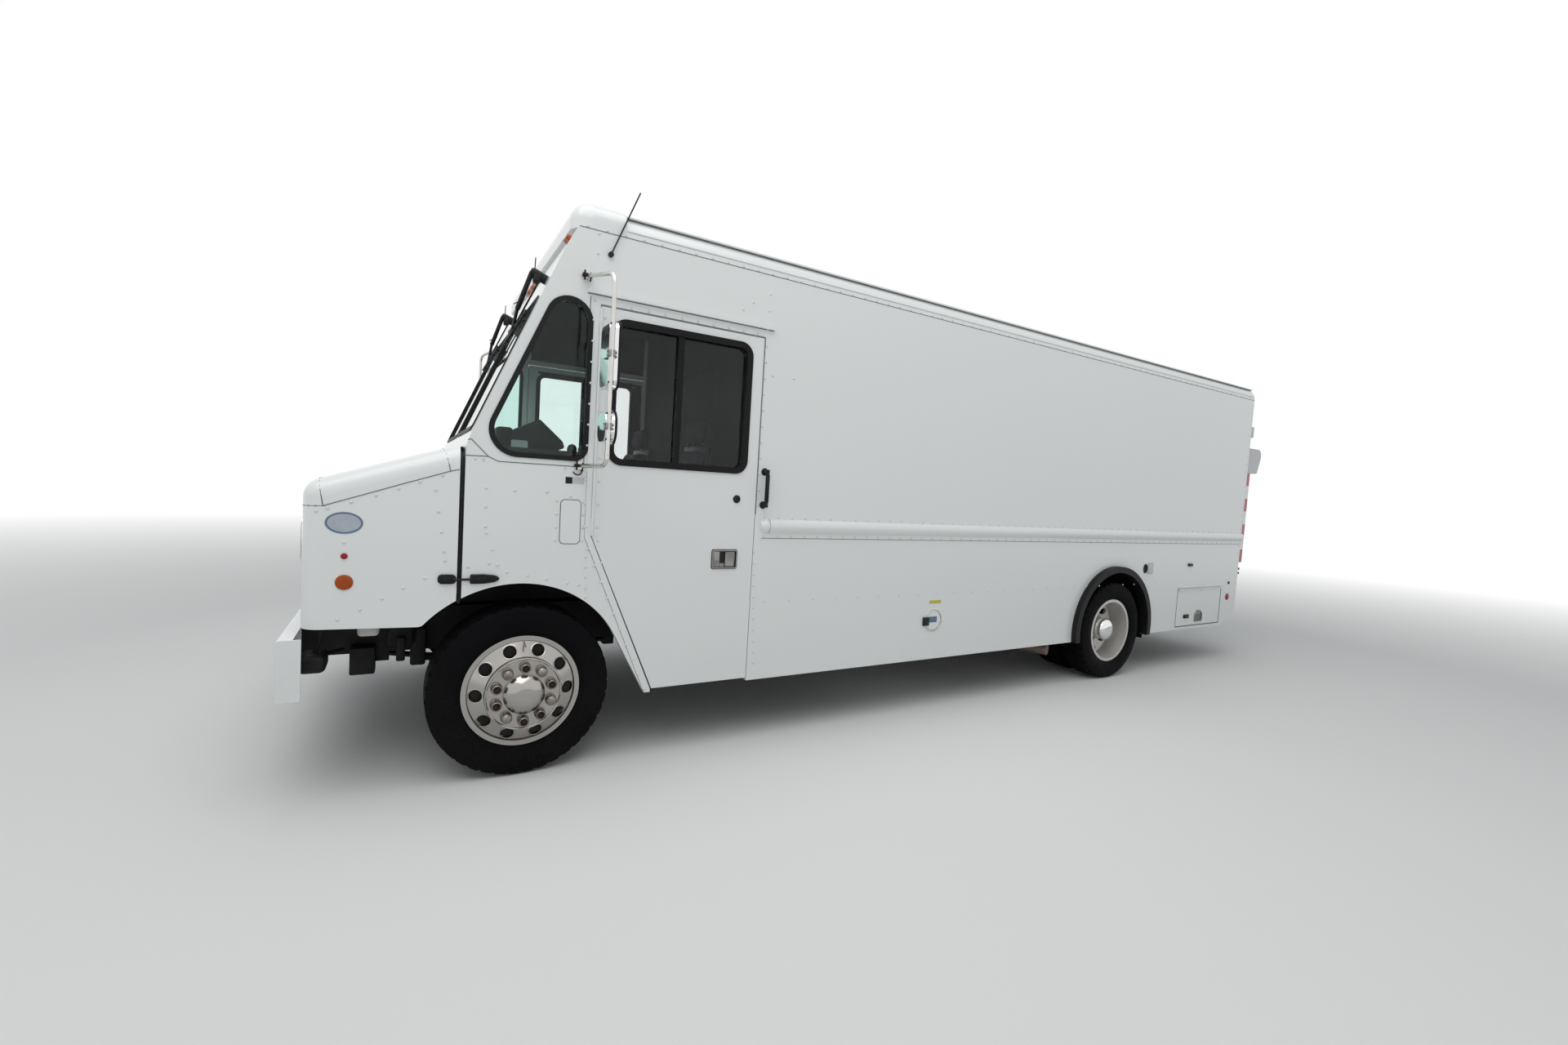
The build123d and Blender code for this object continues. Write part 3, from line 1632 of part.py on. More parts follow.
with BuildPart() as dashboard:
    extrude(
        rounded_outline(
            side_plane(-dash_half),
            [
                (cowl_front + wall, dash_base),
                (cowl_front + wall, dash_top),
                (dash_rear - 110, dash_top),
                (dash_rear, dash_top - 90),
                (dash_rear - 30, dash_base),
            ],
            30,
        ),
        amount=2 * dash_half,
    )
    extrude(
        rounded_outline(
            side_plane(driver_x - binnacle_half),
            [
                (cowl_front + wall + 40, dash_base + 60),
                (cowl_front + wall + 40, dash_top - 20),
                (dash_rear - 60, dash_top + binnacle_rise),
                (dash_rear + 30, dash_top - 20),
                (dash_rear - 40, dash_base + 60),
            ],
            25,
        ),
        amount=2 * binnacle_half,
    )
    with BuildSketch(Plane(origin=column_foot, z_dir=steering_normal)) as column:
        Circle(column_radius)
    extrude(column.sketch, amount=(column_top - column_foot).length)

with BuildPart(Plane(origin=steering_base, x_dir=(1, 0, 0), z_dir=steering_normal)) as steering_wheel:
    Torus(steering_radius, grip_radius)
    Cylinder(steering_hub_radius, 2 * steering_hub_half)
    with PolarLocations(steering_radius / 2, 3, start_angle=90):
        Box(steering_radius, spoke_width, spoke_thickness)

# Seats: cushion, leaning back rest, head rest and pedestal
seat_half = 220.0
cushion = (600.0, 1040.0)
cushion_z = (1180.0, 1320.0)
seat_back = 120.0
seat_lean = 90.0
seat_top_z = 1900.0
seat_radius = 38.0
head_rest_half = 130.0
head_rest_height = 170.0
pedestal_half = 110.0

with BuildPart() as seats:
    for side in (1, -1):
        seat_xs = sorted((side * (driver_x - seat_half), side * (driver_x + seat_half)))
        extrude(
            rounded_outline(
                side_plane(seat_xs[0]),
                [
                    (cushion[0], cushion_z[0]),
                    (cushion[0], cushion_z[1]),
                    (cushion[1] - seat_back / 2, cushion_z[1] - 30),
                    (cushion[1] - seat_back / 2 + seat_lean, seat_top_z),
                    (cushion[1] + seat_back / 2 + seat_lean, seat_top_z),
                    (cushion[1] + seat_back / 2, cushion_z[0]),
                ],
                seat_radius,
            ),
            amount=2 * seat_half,
        )
        extrude(
            rounded_outline(
                side_plane(side * driver_x - head_rest_half),
                [
                    (cushion[1] + seat_lean - 40, seat_top_z - seat_gap),
                    (cushion[1] + seat_lean - 20, seat_top_z + head_rest_height),
                    (cushion[1] + seat_lean + 60, seat_top_z + head_rest_height),
                    (cushion[1] + seat_lean + 50, seat_top_z - seat_gap),
                ],
                seat_radius / 2,
            ),
            amount=2 * head_rest_half,
        )
        slab(
            sorted((side * (driver_x - pedestal_half), side * (driver_x + pedestal_half))),
            (cushion[0] + pedestal_half, cushion[1] - pedestal_half),
            (floor_top, cushion_z[0] + sheet),
        )

# Steering knuckles: yoke over the beam's eye, spindle, backing plate and steering arm
yoke_height = 36.0
yoke_half = 48.0
yoke_thickness = 20.0
yoke_inner = 34.0
yoke_outer = 60.0
arm_setback = 200.0
arm_inset = 40.0
arm_width = 25.0
arm_thickness = 20.0
tie_rod_radius = 18.0
tie_pin_radius = 14.0
tie_rod_drop = 24.0
arm_x = kingpin_x - arm_inset
yoke_top = axle_z + eye_half + yoke_height
yoke_base = axle_z - eye_half - yoke_height
tie_rod_z = yoke_base - tie_rod_drop
front_drum_x = kingpin_x + yoke_outer + backing_plate + move_gap

with BuildPart() as knuckle_left:
    for low, high in (
        (axle_z + eye_half + seat_gap, yoke_top),
        (yoke_base, axle_z - eye_half - seat_gap),
    ):
        slab((kingpin_x - yoke_inner, kingpin_x + yoke_outer), (-yoke_half, yoke_half), (low, high))
    slab(
        (kingpin_x + yoke_outer - yoke_thickness, kingpin_x + yoke_outer),
        (-yoke_half, yoke_half),
        (yoke_base, yoke_top),
    )
    rod(
        (kingpin_x + yoke_outer - move_gap, 0, axle_z),
        (front_wheel_x + wheel_offset - 6, 0, axle_z),
        spindle_radius,
    )
    rod(
        (kingpin_x + yoke_outer, 0, axle_z),
        (kingpin_x + yoke_outer + backing_plate, 0, axle_z),
        drum_radius - move_gap,
    )
    extrude(
        outline(
            level_plane(yoke_base),
            [
                (kingpin_x - yoke_inner + 4, arm_width),
                (kingpin_x + yoke_half, arm_width),
                (arm_x + arm_width, arm_setback + arm_width),
                (arm_x - arm_width, arm_setback + arm_width),
            ],
        ),
        amount=arm_thickness,
    )

with BuildPart() as knuckle_right:
    mirror(knuckle_left.part, about=Plane.YZ)

with BuildPart() as tie_rod:
    rod((-arm_x, arm_setback, tie_rod_z), (arm_x, arm_setback, tie_rod_z), tie_rod_radius)
    for side in (1, -1):
        rod(
            (side * arm_x, arm_setback, tie_rod_z),
            (side * arm_x, arm_setback, yoke_base - seat_gap),
            tie_pin_radius,
        )

# Tyre and disc wheel sections
bead_half = 94.0
bead_rise = 2.0
sidewall_z = 90.0
shoulder_half = 114.0
shoulder_drop = 14.0
tread_half = 100.0
tread_drop = 2.0
hand_hole_count = 10
hand_hole_radius = 33.0
hand_hole_circle = 230.0
cone_foot = 193.0
cone_step = 25.0
cone_shoulder = 9.0
cone_slope = 0.5
nut_count = 10
nut_circle = 143.0
nut_radius = 23.0
nut_height = 30.0
hub_cap_radius = 104.0
hub_cap_height = 58.0
hub_cap_wall = 18.0
hub_cap_nose = 30.0
hub_radius = 110.0


def wheel_plane(station):
    """Cross plane centred on an axle."""
    return Plane(origin=(0, front_axle_y + station, axle_z), x_dir=(1, 0, 0), z_dir=(0, -1, 0))


def axle_axis(station):
    """Axis of an axle, along +X."""
    return Axis((0, front_axle_y + station, axle_z), (1, 0, 0))


def tyre_section(station, centre_x):
    """Tyre section, drawn with (x, radius)."""
    bead_radius = rim_radius + seat_gap
    wall_foot = flange_radius + bead_rise
    shoulder = tyre_radius - shoulder_drop
    tread_edge = tyre_radius - tread_drop
    with BuildSketch(wheel_plane(station)) as face:
        with BuildLine():
            Line((centre_x - bead_half, bead_radius), (centre_x + bead_half, bead_radius))
            for side in (1, -1):
                Line((centre_x + side * bead_half, bead_radius), (centre_x + side * bead_half, wall_foot))
                ThreePointArc(
                    (centre_x + side * bead_half, wall_foot),
                    (centre_x + side * tyre_width / 2, rim_radius + sidewall_z),
                    (centre_x + side * shoulder_half, shoulder),
                )
                Line((centre_x + side * shoulder_half, shoulder), (centre_x + side * tread_half, tread_edge))
            ThreePointArc(
                (centre_x - tread_half, tread_edge), (centre_x, tyre_radius), (centre_x + tread_half, tread_edge)
            )
        make_face()
    return face.sketch


def rim_section(station, centre_x, side):
    """Disc wheel section; side is +1 or -1 for the way its disc is offset."""
    barrel = [
        (rim_half_width, flange_radius),
        (rim_half_width, rim_radius - rim_wall),
        (-rim_half_width, rim_radius - rim_wall),
        (-rim_half_width, flange_radius),
        (rim_wall - rim_half_width, flange_radius),
        (rim_wall - rim_half_width, rim_radius),
        (rim_half_width - rim_wall, rim_radius),
        (rim_half_width - rim_wall, flange_radius),
    ]
    cone_height = rim_radius - rim_wall / 2 - cone_foot
    disc = [
        (wheel_offset - cone_step - cone_slope * cone_height, cone_foot + cone_height),
        (wheel_offset - cone_step, cone_foot),
        (wheel_offset, cone_foot - cone_shoulder),
        (wheel_offset, hub_bore_radius),
        (wheel_offset - disc_thickness, hub_bore_radius),
        (wheel_offset - disc_thickness, cone_foot - disc_thickness),
        (wheel_offset - cone_step - disc_thickness, cone_foot),
        (wheel_offset - cone_step - disc_thickness - cone_slope * cone_height, cone_foot + cone_height),
    ]
    with BuildSketch(wheel_plane(station)) as face:
        for points in (barrel, disc):
            with BuildLine():
                Polyline(*[(centre_x + side * x, r) for x, r in points], close=True)
            make_face()
    return face.sketch


def drum_section(station, points):
    """Turned part drawn with (x, radius) points about an axle."""
    with BuildSketch(wheel_plane(station)) as face:
        with BuildLine():
            Polyline(*points, close=True)
        make_face()
    return face.sketch


def cap_section(station, base_x, rim, height):
    """Domed hub cap section, drawn with (x, radius)."""
    with BuildSketch(wheel_plane(station)) as face:
        with BuildLine():
            Polyline(
                (base_x + height, hub_cap_nose),
                (base_x + height, 0),
                (base_x, 0),
                (base_x, rim),
                (base_x + hub_cap_wall, rim),
            )
            TangentArc((base_x + height, hub_cap_nose), (base_x + hub_cap_wall, rim), tangent=(0, 1))
        make_face()
    return face.sketch


def disc_holes(station, centre_x, side):
    """Ring of hand holes through a wheel's disc."""
    with BuildSketch(side_plane(centre_x + side * (rim_half_width - 50))) as holes:
        with Locations((station, axle_z)):
            with PolarLocations(hand_hole_circle, hand_hole_count):
                Circle(hand_hole_radius)
    extrude(holes.sketch, amount=side * (wheel_offset - rim_half_width + 60), mode=Mode.SUBTRACT)


def nut_ring(station, face_x):
    """Ring of wheel nuts on a disc's outer face."""
    with BuildSketch(side_plane(face_x)) as nuts:
        with Locations((station, axle_z)):
            with PolarLocations(nut_circle, nut_count, start_angle=180 / nut_count):
                RegularPolygon(radius=nut_radius, side_count=6)
    extrude(nuts.sketch, amount=nut_height)


with BuildPart() as tyre_fl:
    revolve(tyre_section(0, front_wheel_x), axis=axle_axis(0))

with BuildPart() as rim_fl:
    revolve(rim_section(0, front_wheel_x, 1), axis=axle_axis(0))
    disc_holes(0, front_wheel_x, 1)
    front_disc_x = front_wheel_x + wheel_offset
    revolve(
        drum_section(
            0,
            [
                (front_drum_x, hub_bore_radius),
                (front_drum_x, drum_radius),
                (front_disc_x - disc_thickness - 60, drum_radius),
                (front_disc_x - disc_thickness - 60, hub_radius),
                (front_disc_x - disc_thickness, hub_radius),
                (front_disc_x - disc_thickness, hub_bore_radius),
            ],
        ),
        axis=axle_axis(0),
    )
    revolve(cap_section(0, front_disc_x, hub_cap_radius, hub_cap_height), axis=axle_axis(0))
    nut_ring(0, front_disc_x)

with BuildPart() as tyre_fr:
    mirror(tyre_fl.part, about=Plane.YZ)

with BuildPart() as rim_fr:
    mirror(rim_fl.part, about=Plane.YZ)

with BuildPart() as tyres_rl:
    revolve(tyre_section(wheelbase, rear_outer_x), axis=axle_axis(wheelbase))
    revolve(tyre_section(wheelbase, rear_inner_x), axis=axle_axis(wheelbase))

with BuildPart() as rims_rl:
    revolve(rim_section(wheelbase, rear_outer_x, -1), axis=axle_axis(wheelbase))
    revolve(rim_section(wheelbase, rear_inner_x, 1), axis=axle_axis(wheelbase))
    disc_holes(wheelbase, rear_outer_x, -1)
    disc_holes(wheelbase, rear_inner_x, 1)
    rear_disc_x = rear_mounting_x + disc_thickness
    revolve(
        drum_section(
            wheelbase,
            [
                (rear_drum_x, hub_bore_radius),
                (rear_drum_x, drum_radius),
                (rear_mounting_x - disc_thickness, drum_radius),
                (rear_mounting_x - disc_thickness, hub_radius),
                (rear_disc_x, hub_radius),
                (rear_disc_x, hub_cap_radius),
                (rear_outer_x, hub_cap_radius),
                (rear_outer_x, hub_bore_radius),
            ],
        ),
        axis=axle_axis(wheelbase),
    )
    revolve(cap_section(wheelbase, rear_outer_x, hub_cap_radius, hub_cap_height), axis=axle_axis(wheelbase))
    nut_ring(wheelbase, rear_disc_x)

with BuildPart() as tyres_rr:
    mirror(tyres_rl.part, about=Plane.YZ)

with BuildPart() as rims_rr:
    mirror(rims_rl.part, about=Plane.YZ)

# Round tail lamps: columns are distance from the body side, height, radius
tail_lamp_table = ((150.0, 1010.0, 54.0), (150.0, 1135.0, 54.0), (150.0, 1260.0, 54.0), (60.0, 2880.0, 30.0))
tail_lamp_depth = 16.0
tail_centre_lamps_x = (0.0, 150.0)
tail_centre_lamp_radius = 30.0

with BuildPart() as tail_lamps:
    for from_side, height, radius in tail_lamp_table:
        lamp_centre = inner_half_width - from_side
        with BuildSketch(cross_plane(rear_face + tail_lamp_depth)) as tail_disc:
            with Locations((lamp_centre, height), (-lamp_centre, height)):
                Circle(radius)
        extrude(tail_disc.sketch, amount=tail_lamp_depth)
    with BuildSketch(cross_plane(rear_face + tail_lamp_depth)) as centre_discs:
        with Locations(*[(side * x, tail_lamp_table[3][1]) for x in tail_centre_lamps_x for side in (1, -1)]):
            Circle(tail_centre_lamp_radius)
    extrude(centre_discs.sketch, amount=tail_lamp_depth)

# Marker lamps on the header above the windshield
marker_lamps_x = (0.0, 150.0, -150.0, inner_half_width - 50, 50 - inner_half_width)
marker_length = 90.0
marker_height = 30.0
marker_depth = 22.0
marker_rise = 62.0
header_angle = atan2(header_setback, seam_z - header_top_z)
header_plane = Plane(
    origin=(0, front_axle_y + header_top_station, header_top_z),
    x_dir=(1, 0, 0),
    z_dir=(0, -cos(header_angle), sin(header_angle)),
)

with BuildPart() as marker_lamps:
    with BuildSketch(header_plane):
        with Locations(*[(x, marker_rise) for x in marker_lamps_x]):
            RectangleRounded(marker_length, marker_height, marker_height / 3)
    extrude(amount=marker_depth, taper=12)

# Export, one STEP per node
pieces = {
    "cab_side_left": cab_side_left,
    "cab_side_right": cab_side_right,
    "body_side_left": body_side_left,
    "body_side_right": body_side_right,
    "roof": roof,
    "roof_cap": roof_cap,
    "cab_front": cab_front,
    "cab_glass": cab_glass,
    "glazing_seals": glazing_seals,
    "door_left": door_left,
    "door_frame_left": door_frame_left,
    "door_glass_left": door_glass_left,
    "door_right": door_right,
    "door_frame_right": door_frame_right,
    "door_glass_right": door_glass_right,
    "rear_frame": rear_frame,
    "rear_door_left": rear_door_left,
    "rear_door_right": rear_door_right,
    "cab_floor": cab_floor,
    "front_wheelhouses": front_wheelhouses,
    "load_floor": load_floor,
    "frame_rails": frame_rails,
    "cross_members": cross_members,
    "front_axle": front_axle,
    "leaf_springs": leaf_springs,
    "rear_axle": rear_axle,
    "engine_block": engine_block,
    "drive_shaft": drive_shaft,
    "fuel_tank": fuel_tank,
    "exhaust": exhaust,
    "front_bumper": front_bumper,
    "rear_bumper": rear_bumper,
    "side_rails": side_rails,
    "arch_flares": arch_flares,
    "mirror_arms": mirror_arms,
    "mirror_heads": mirror_heads,
    "cab_fittings": cab_fittings,
    "mud_flaps": mud_flaps,
    "rear_housing": rear_housing,
    "locker_box": locker_box,
    "locker_door": locker_door,
    "hood": hood,
    "grille": grille,
    "headlamps": headlamps,
    "dashboard": dashboard,
    "seats": seats,
    "steering_wheel": steering_wheel,
    "knuckle_left": knuckle_left,
    "knuckle_right": knuckle_right,
    "tie_rod": tie_rod,
    "tyre_fl": tyre_fl,
    "rim_fl": rim_fl,
    "tyre_fr": tyre_fr,
    "rim_fr": rim_fr,
    "tyres_rl": tyres_rl,
    "rims_rl": rims_rl,
    "tyres_rr": tyres_rr,
    "rims_rr": rims_rr,
    "tail_lamps": tail_lamps,
    "marker_lamps": marker_lamps,
}
for label, piece in pieces.items():
    piece.part.label = label
    export_step(piece.part, f"parts/{label}.step")
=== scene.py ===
"""Finish for a walk-in step van: tyres, fastenings, trim, lamps, cab fittings, paint and a plain stage.

Run as a script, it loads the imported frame, builds every piece on it and leaves the camera at the
photograph's viewing angle. Places are given in millimetres: across from the middle, behind the
front axle, and above the ground.
"""

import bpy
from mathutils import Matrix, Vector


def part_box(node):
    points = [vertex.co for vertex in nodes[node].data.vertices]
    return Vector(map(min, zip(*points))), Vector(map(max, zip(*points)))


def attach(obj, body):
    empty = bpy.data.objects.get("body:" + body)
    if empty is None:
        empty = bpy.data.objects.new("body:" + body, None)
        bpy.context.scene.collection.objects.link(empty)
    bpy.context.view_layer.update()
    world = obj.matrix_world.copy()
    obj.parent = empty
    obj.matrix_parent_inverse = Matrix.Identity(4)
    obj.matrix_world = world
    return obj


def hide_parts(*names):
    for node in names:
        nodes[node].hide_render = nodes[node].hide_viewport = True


bl_info = {
    "name": "Step van finish",
    "version": (1, 0, 0),
    "blender": (4, 5, 0),
    "location": "3D View > Sidebar > Step van",
    "description": "Tyres, fastenings, trim, lamps, cab fittings and finishes for the step van frame",
    "category": "Add Mesh",
}

import math

import bmesh
import bpy
from bpy.props import FloatProperty, FloatVectorProperty, IntProperty, PointerProperty
from mathutils import Matrix, Vector

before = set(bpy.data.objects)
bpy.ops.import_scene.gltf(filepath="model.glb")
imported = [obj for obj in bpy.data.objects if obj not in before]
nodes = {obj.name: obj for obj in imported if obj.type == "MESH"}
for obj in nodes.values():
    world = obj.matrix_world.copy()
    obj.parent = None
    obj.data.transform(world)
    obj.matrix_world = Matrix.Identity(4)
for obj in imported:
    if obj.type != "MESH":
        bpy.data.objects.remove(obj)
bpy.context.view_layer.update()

front_tyre_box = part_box("tyre_fl")
rear_tyre_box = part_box("tyres_rl")
axle_y = (front_tyre_box[0].y + front_tyre_box[1].y) / 2
axle_height = (front_tyre_box[0].z + front_tyre_box[1].z) / 2 * 1000
wheelbase = ((rear_tyre_box[0].y + rear_tyre_box[1].y) / 2 - axle_y) * 1000
tyre_radius = (front_tyre_box[1].z - front_tyre_box[0].z) / 2 * 1000
front_wheel_x = (front_tyre_box[0].x + front_tyre_box[1].x) / 2 * 1000
tyre_width = (front_tyre_box[1].x - front_tyre_box[0].x) * 1000
rear_outer_x = rear_tyre_box[1].x * 1000 - tyre_width / 2
rear_inner_x = rear_tyre_box[0].x * 1000 + tyre_width / 2
side_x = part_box("body_side_right")[0].x * -1000
rear_station = (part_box("rear_frame")[1].y - axle_y) * 1000


def at(x, station, height):
    """Place in metres, from millimetres across, behind the front axle and above the ground."""
    return Vector((x / 1000, axle_y + station / 1000, height / 1000))


# ---------------------------------------------------------------- settings


class VanPaint(bpy.types.PropertyGroup):
    """Colours of the van's finishes."""

    body_white: FloatVectorProperty(
        name="Body white", description="Paint of cab and load body", default=(0.79, 0.815, 0.805),
        size=3, subtype="COLOR",
    )
    chassis_black: FloatVectorProperty(
        name="Chassis black", description="Paint of frame and axles", default=(0.009, 0.009, 0.01),
        size=3, subtype="COLOR",
    )
    rubber: FloatVectorProperty(
        name="Rubber", description="Tyres, flares and seals", default=(0.0036, 0.0037, 0.0046), size=3, subtype="COLOR"
    )
    dust: FloatVectorProperty(
        name="Dust", description="Road dust on the lower parts", default=(0.30, 0.27, 0.235), size=3, subtype="COLOR"
    )
    amber: FloatVectorProperty(
        name="Amber", description="Reflectors and marker lamps", default=(0.36, 0.062, 0.002), size=3, subtype="COLOR"
    )
    red: FloatVectorProperty(
        name="Red", description="Rear lamps and reflectors", default=(0.32, 0.006, 0.008), size=3, subtype="COLOR"
    )
    seat: FloatVectorProperty(
        name="Seat cloth", description="Woven seat covers", default=(0.035, 0.037, 0.042), size=3, subtype="COLOR"
    )


class VanTrim(bpy.types.PropertyGroup):
    """Sizes of the small pieces."""

    rivet_radius: FloatProperty(
        name="Rivet radius", description="Dome of a body rivet, in mm", default=8.6, min=2.0, max=15.0
    )
    tread_steps: IntProperty(name="Tread steps", description="Steps round a tyre", default=120, min=60, max=180)
    groove_depth: FloatProperty(
        name="Groove depth", description="Depth of the tread grooves, in mm", default=10.0, min=2.0, max=16.0
    )


class VanStage(bpy.types.PropertyGroup):
    """Camera and light."""

    lens: FloatProperty(
        name="Lens", description="Focal length of the camera", default=14.532, min=8.0, max=100.0,
        subtype="DISTANCE_CAMERA",
    )
    sky: FloatProperty(
        name="Sky strength", description="Strength of the surrounding light", default=0.42, min=0.0, max=2.0
    )
    lamp: FloatProperty(
        name="Lamp power", description="Power of the overhead lamp, in watts", default=470.0, min=0.0, max=5000.0
    )


# ---------------------------------------------------------------- modelling

REARWARD, UPWARD = (0, 1, 0), (0, 0, 1)


def start():
    """Leave edit mode and select nothing."""
    if bpy.context.object and bpy.context.object.mode != "OBJECT":
        bpy.ops.object.mode_set(mode="OBJECT")
    bpy.ops.object.select_all(action="DESELECT")


def take(piece):
    """Make one piece the only selected and active one."""
    start()
    piece.select_set(True)
    bpy.context.view_layer.objects.active = piece


def settle(piece):
    """Bring a piece's object to the origin, unturned and unscaled, with its place in its mesh."""
    take(piece)
    bpy.ops.object.transform_apply(location=True, rotation=True, scale=True)
    return piece


def block(low, high):
    """Block between two corners."""
    start()
    a, b = at(*low), at(*high)
    bpy.ops.mesh.primitive_cube_add(size=1, location=(a + b) / 2)
    piece = bpy.context.object
    piece.scale = [abs(v) for v in b - a]
    return settle(piece)


def bar(foot, tip, radius, sides=16, end_radius=None):
    """Round bar or cone between two places."""
    start()
    a, b = at(*foot), at(*tip)
    along = b - a
    bpy.ops.mesh.primitive_cone_add(
        vertices=sides,
        radius1=radius / 1000,
        radius2=(radius if end_radius is None else end_radius) / 1000,
        depth=along.length,
        location=(a + b) / 2,
        rotation=along.to_track_quat("Z", "Y").to_euler(),
    )
    return settle(bpy.context.object)


def pick(piece, test, kind="FACE"):
    """In edit mode, select the faces or edges whose middle and direction pass a test."""
    take(piece)
    bpy.ops.object.mode_set(mode="EDIT")
    bpy.ops.mesh.select_mode(type=kind)
    bpy.ops.mesh.select_all(action="DESELECT")
    mesh = bmesh.from_edit_mesh(piece.data)
    if kind == "FACE":
        for face in mesh.faces:
            face.select_set(bool(test(face.calc_center_median(), face.normal)))
    else:
        for edge in mesh.edges:
            run = edge.verts[1].co - edge.verts[0].co
            edge.select_set(bool(test((edge.verts[0].co + edge.verts[1].co) / 2, run)))
    bmesh.update_edit_mesh(piece.data)


def inset(thickness, depth=0.0):
    """Inset the picked faces, in mm."""
    bpy.ops.mesh.inset(thickness=thickness / 1000, depth=depth / 1000)


def soften(piece, width, segments=2, angle=30):
    """Round a piece's edges."""
    take(piece)
    edge_round = piece.modifiers.new("edges", "BEVEL")
    edge_round.width = width / 1000
    edge_round.segments = segments
    edge_round.limit_method = "ANGLE"
    edge_round.angle_limit = math.radians(angle)
    bpy.ops.object.modifier_apply(modifier=edge_round.name)
    return piece


def join(pieces):
    """Join pieces into the first."""
    start()
    for piece in pieces:
        piece.select_set(True)
    bpy.context.view_layer.objects.active = pieces[0]
    if len(pieces) > 1:
        bpy.ops.object.join()
    return pieces[0]


def copy(piece, x=0.0, station=0.0, height=0.0):
    """Copy of a piece with its own mesh, moved in mm."""
    twin = piece.copy()
    twin.data = piece.data.copy()
    bpy.context.scene.collection.objects.link(twin)
    twin.data.transform(Matrix.Translation((x / 1000, station / 1000, height / 1000)))
    return twin


def flip(piece):
    """Mirror a piece to the van's other side."""
    piece.data.transform(Matrix.Scale(-1, 4, (1, 0, 0)))
    piece.data.flip_normals()
    return piece


def other_side(piece):
    """Mirrored copy of a piece on the van's other side."""
    return flip(copy(piece))


def on_side(pieces, side):
    """Copies of pieces on one side, drawn for the left."""
    return [copy(piece) if side > 0 else other_side(piece) for piece in pieces]


def drop(pieces):
    """Remove pieces that only served as patterns."""
    for piece in pieces:
        bpy.data.objects.remove(piece)


def turned(points, x, station, height, axis=(1, 0, 0), steps=48):
    """Shape turned about an axis from a drawn edge of (along, radius) points."""
    start()
    middle = at(x, station, height)
    along = Vector(axis).normalized()
    out = Vector((0, 0, 1)) if abs(along.z) < 0.9 else Vector((1, 0, 0))
    out = (out - along * out.dot(along)).normalized()
    places = [middle + along * a / 1000 + out * r / 1000 for a, r in points]
    bpy.ops.mesh.primitive_plane_add(size=0.001, location=places[0])
    piece = bpy.context.object
    bpy.ops.object.mode_set(mode="EDIT")
    bpy.ops.mesh.select_mode(type="VERT")
    bpy.ops.mesh.select_all(action="SELECT")
    bpy.ops.mesh.merge(type="CENTER")
    for before, after in zip(places, places[1:]):
        bpy.ops.mesh.extrude_vertices_move(TRANSFORM_OT_translate={"value": after - before})
    bpy.ops.mesh.select_all(action="SELECT")
    bpy.ops.mesh.spin(steps=steps, angle=math.tau, center=middle, axis=along)
    bpy.ops.mesh.select_all(action="SELECT")
    bpy.ops.mesh.remove_doubles(threshold=1e-5)
    bpy.ops.mesh.normals_make_consistent(inside=False)
    bpy.ops.object.mode_set(mode="OBJECT")
    return settle(piece)


def plate(outline, depth, thickness, across="x"):
    """Flat plate from an outline: (station, height) on a side, or (x, height) across the van."""
    start()
    places = [at(depth, a, b) if across == "x" else at(a, depth, b) for a, b in outline]
    bpy.ops.mesh.primitive_circle_add(vertices=len(outline), radius=0.1, fill_type="NGON")
    piece = bpy.context.object
    for vertex, place in zip(piece.data.vertices, places):
        vertex.co = place - piece.location
    settle(piece)
    bpy.ops.object.mode_set(mode="EDIT")
    bpy.ops.mesh.select_all(action="SELECT")
    way = Vector((1, 0, 0)) if across == "x" else Vector((0, 1, 0))
    bpy.ops.mesh.extrude_region_move(TRANSFORM_OT_translate={"value": way * thickness / 1000})
    bpy.ops.mesh.select_all(action="SELECT")
    bpy.ops.mesh.normals_make_consistent(inside=False)
    bpy.ops.object.mode_set(mode="OBJECT")
    return piece


def rounded(first, second, radius, steps=5):
    """Outline of a rectangle with round corners between two opposite corners."""
    (a0, b0), (a1, b1) = first, second
    corners = (
        (a1 - radius, b1 - radius, 0),
        (a0 + radius, b1 - radius, 90),
        (a0 + radius, b0 + radius, 180),
        (a1 - radius, b0 + radius, 270),
    )
    outline = []
    for a, b, turn in corners:
        for i in range(steps + 1):
            angle = math.radians(turn + 90 * i / steps)
            outline.append((a + radius * math.cos(angle), b + radius * math.sin(angle)))
    return outline


def done(piece, name, body, finish, angle=35):
    """Name a piece, give it its finish and let it ride on its body."""
    settle(piece)
    piece.name = piece.data.name = name
    piece.data.materials.clear()
    piece.data.materials.append(FINISHES[finish][0])
    bpy.ops.object.shade_smooth_by_angle(angle=math.radians(angle))
    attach(piece, body)
    return piece


# ---------------------------------------------------------------- finishes

FINISHES = {}


def effect(name, inputs, outputs, wire):
    """Shader group with named inputs and outputs, built once."""
    group = bpy.data.node_groups.new(name, "ShaderNodeTree")
    for label, kind, value in inputs:
        socket = group.interface.new_socket(name=label, in_out="INPUT", socket_type=kind)
        socket.default_value = value
    for label, kind in outputs:
        group.interface.new_socket(name=label, in_out="OUTPUT", socket_type=kind)
    source = group.nodes.new("NodeGroupInput")
    sink = group.nodes.new("NodeGroupOutput")

    def node(kind, values=(), **settings):
        made = group.nodes.new(kind)
        for key, value in settings.items():
            setattr(made, key, value)
        for socket, value in values:
            target = made.inputs[socket]
            if isinstance(value, bpy.types.NodeSocket):
                group.links.new(value, target)
            else:
                target.default_value = value
        return made

    for label, value in wire(node, source.outputs).items():
        group.links.new(value, sink.inputs[label])
    return group


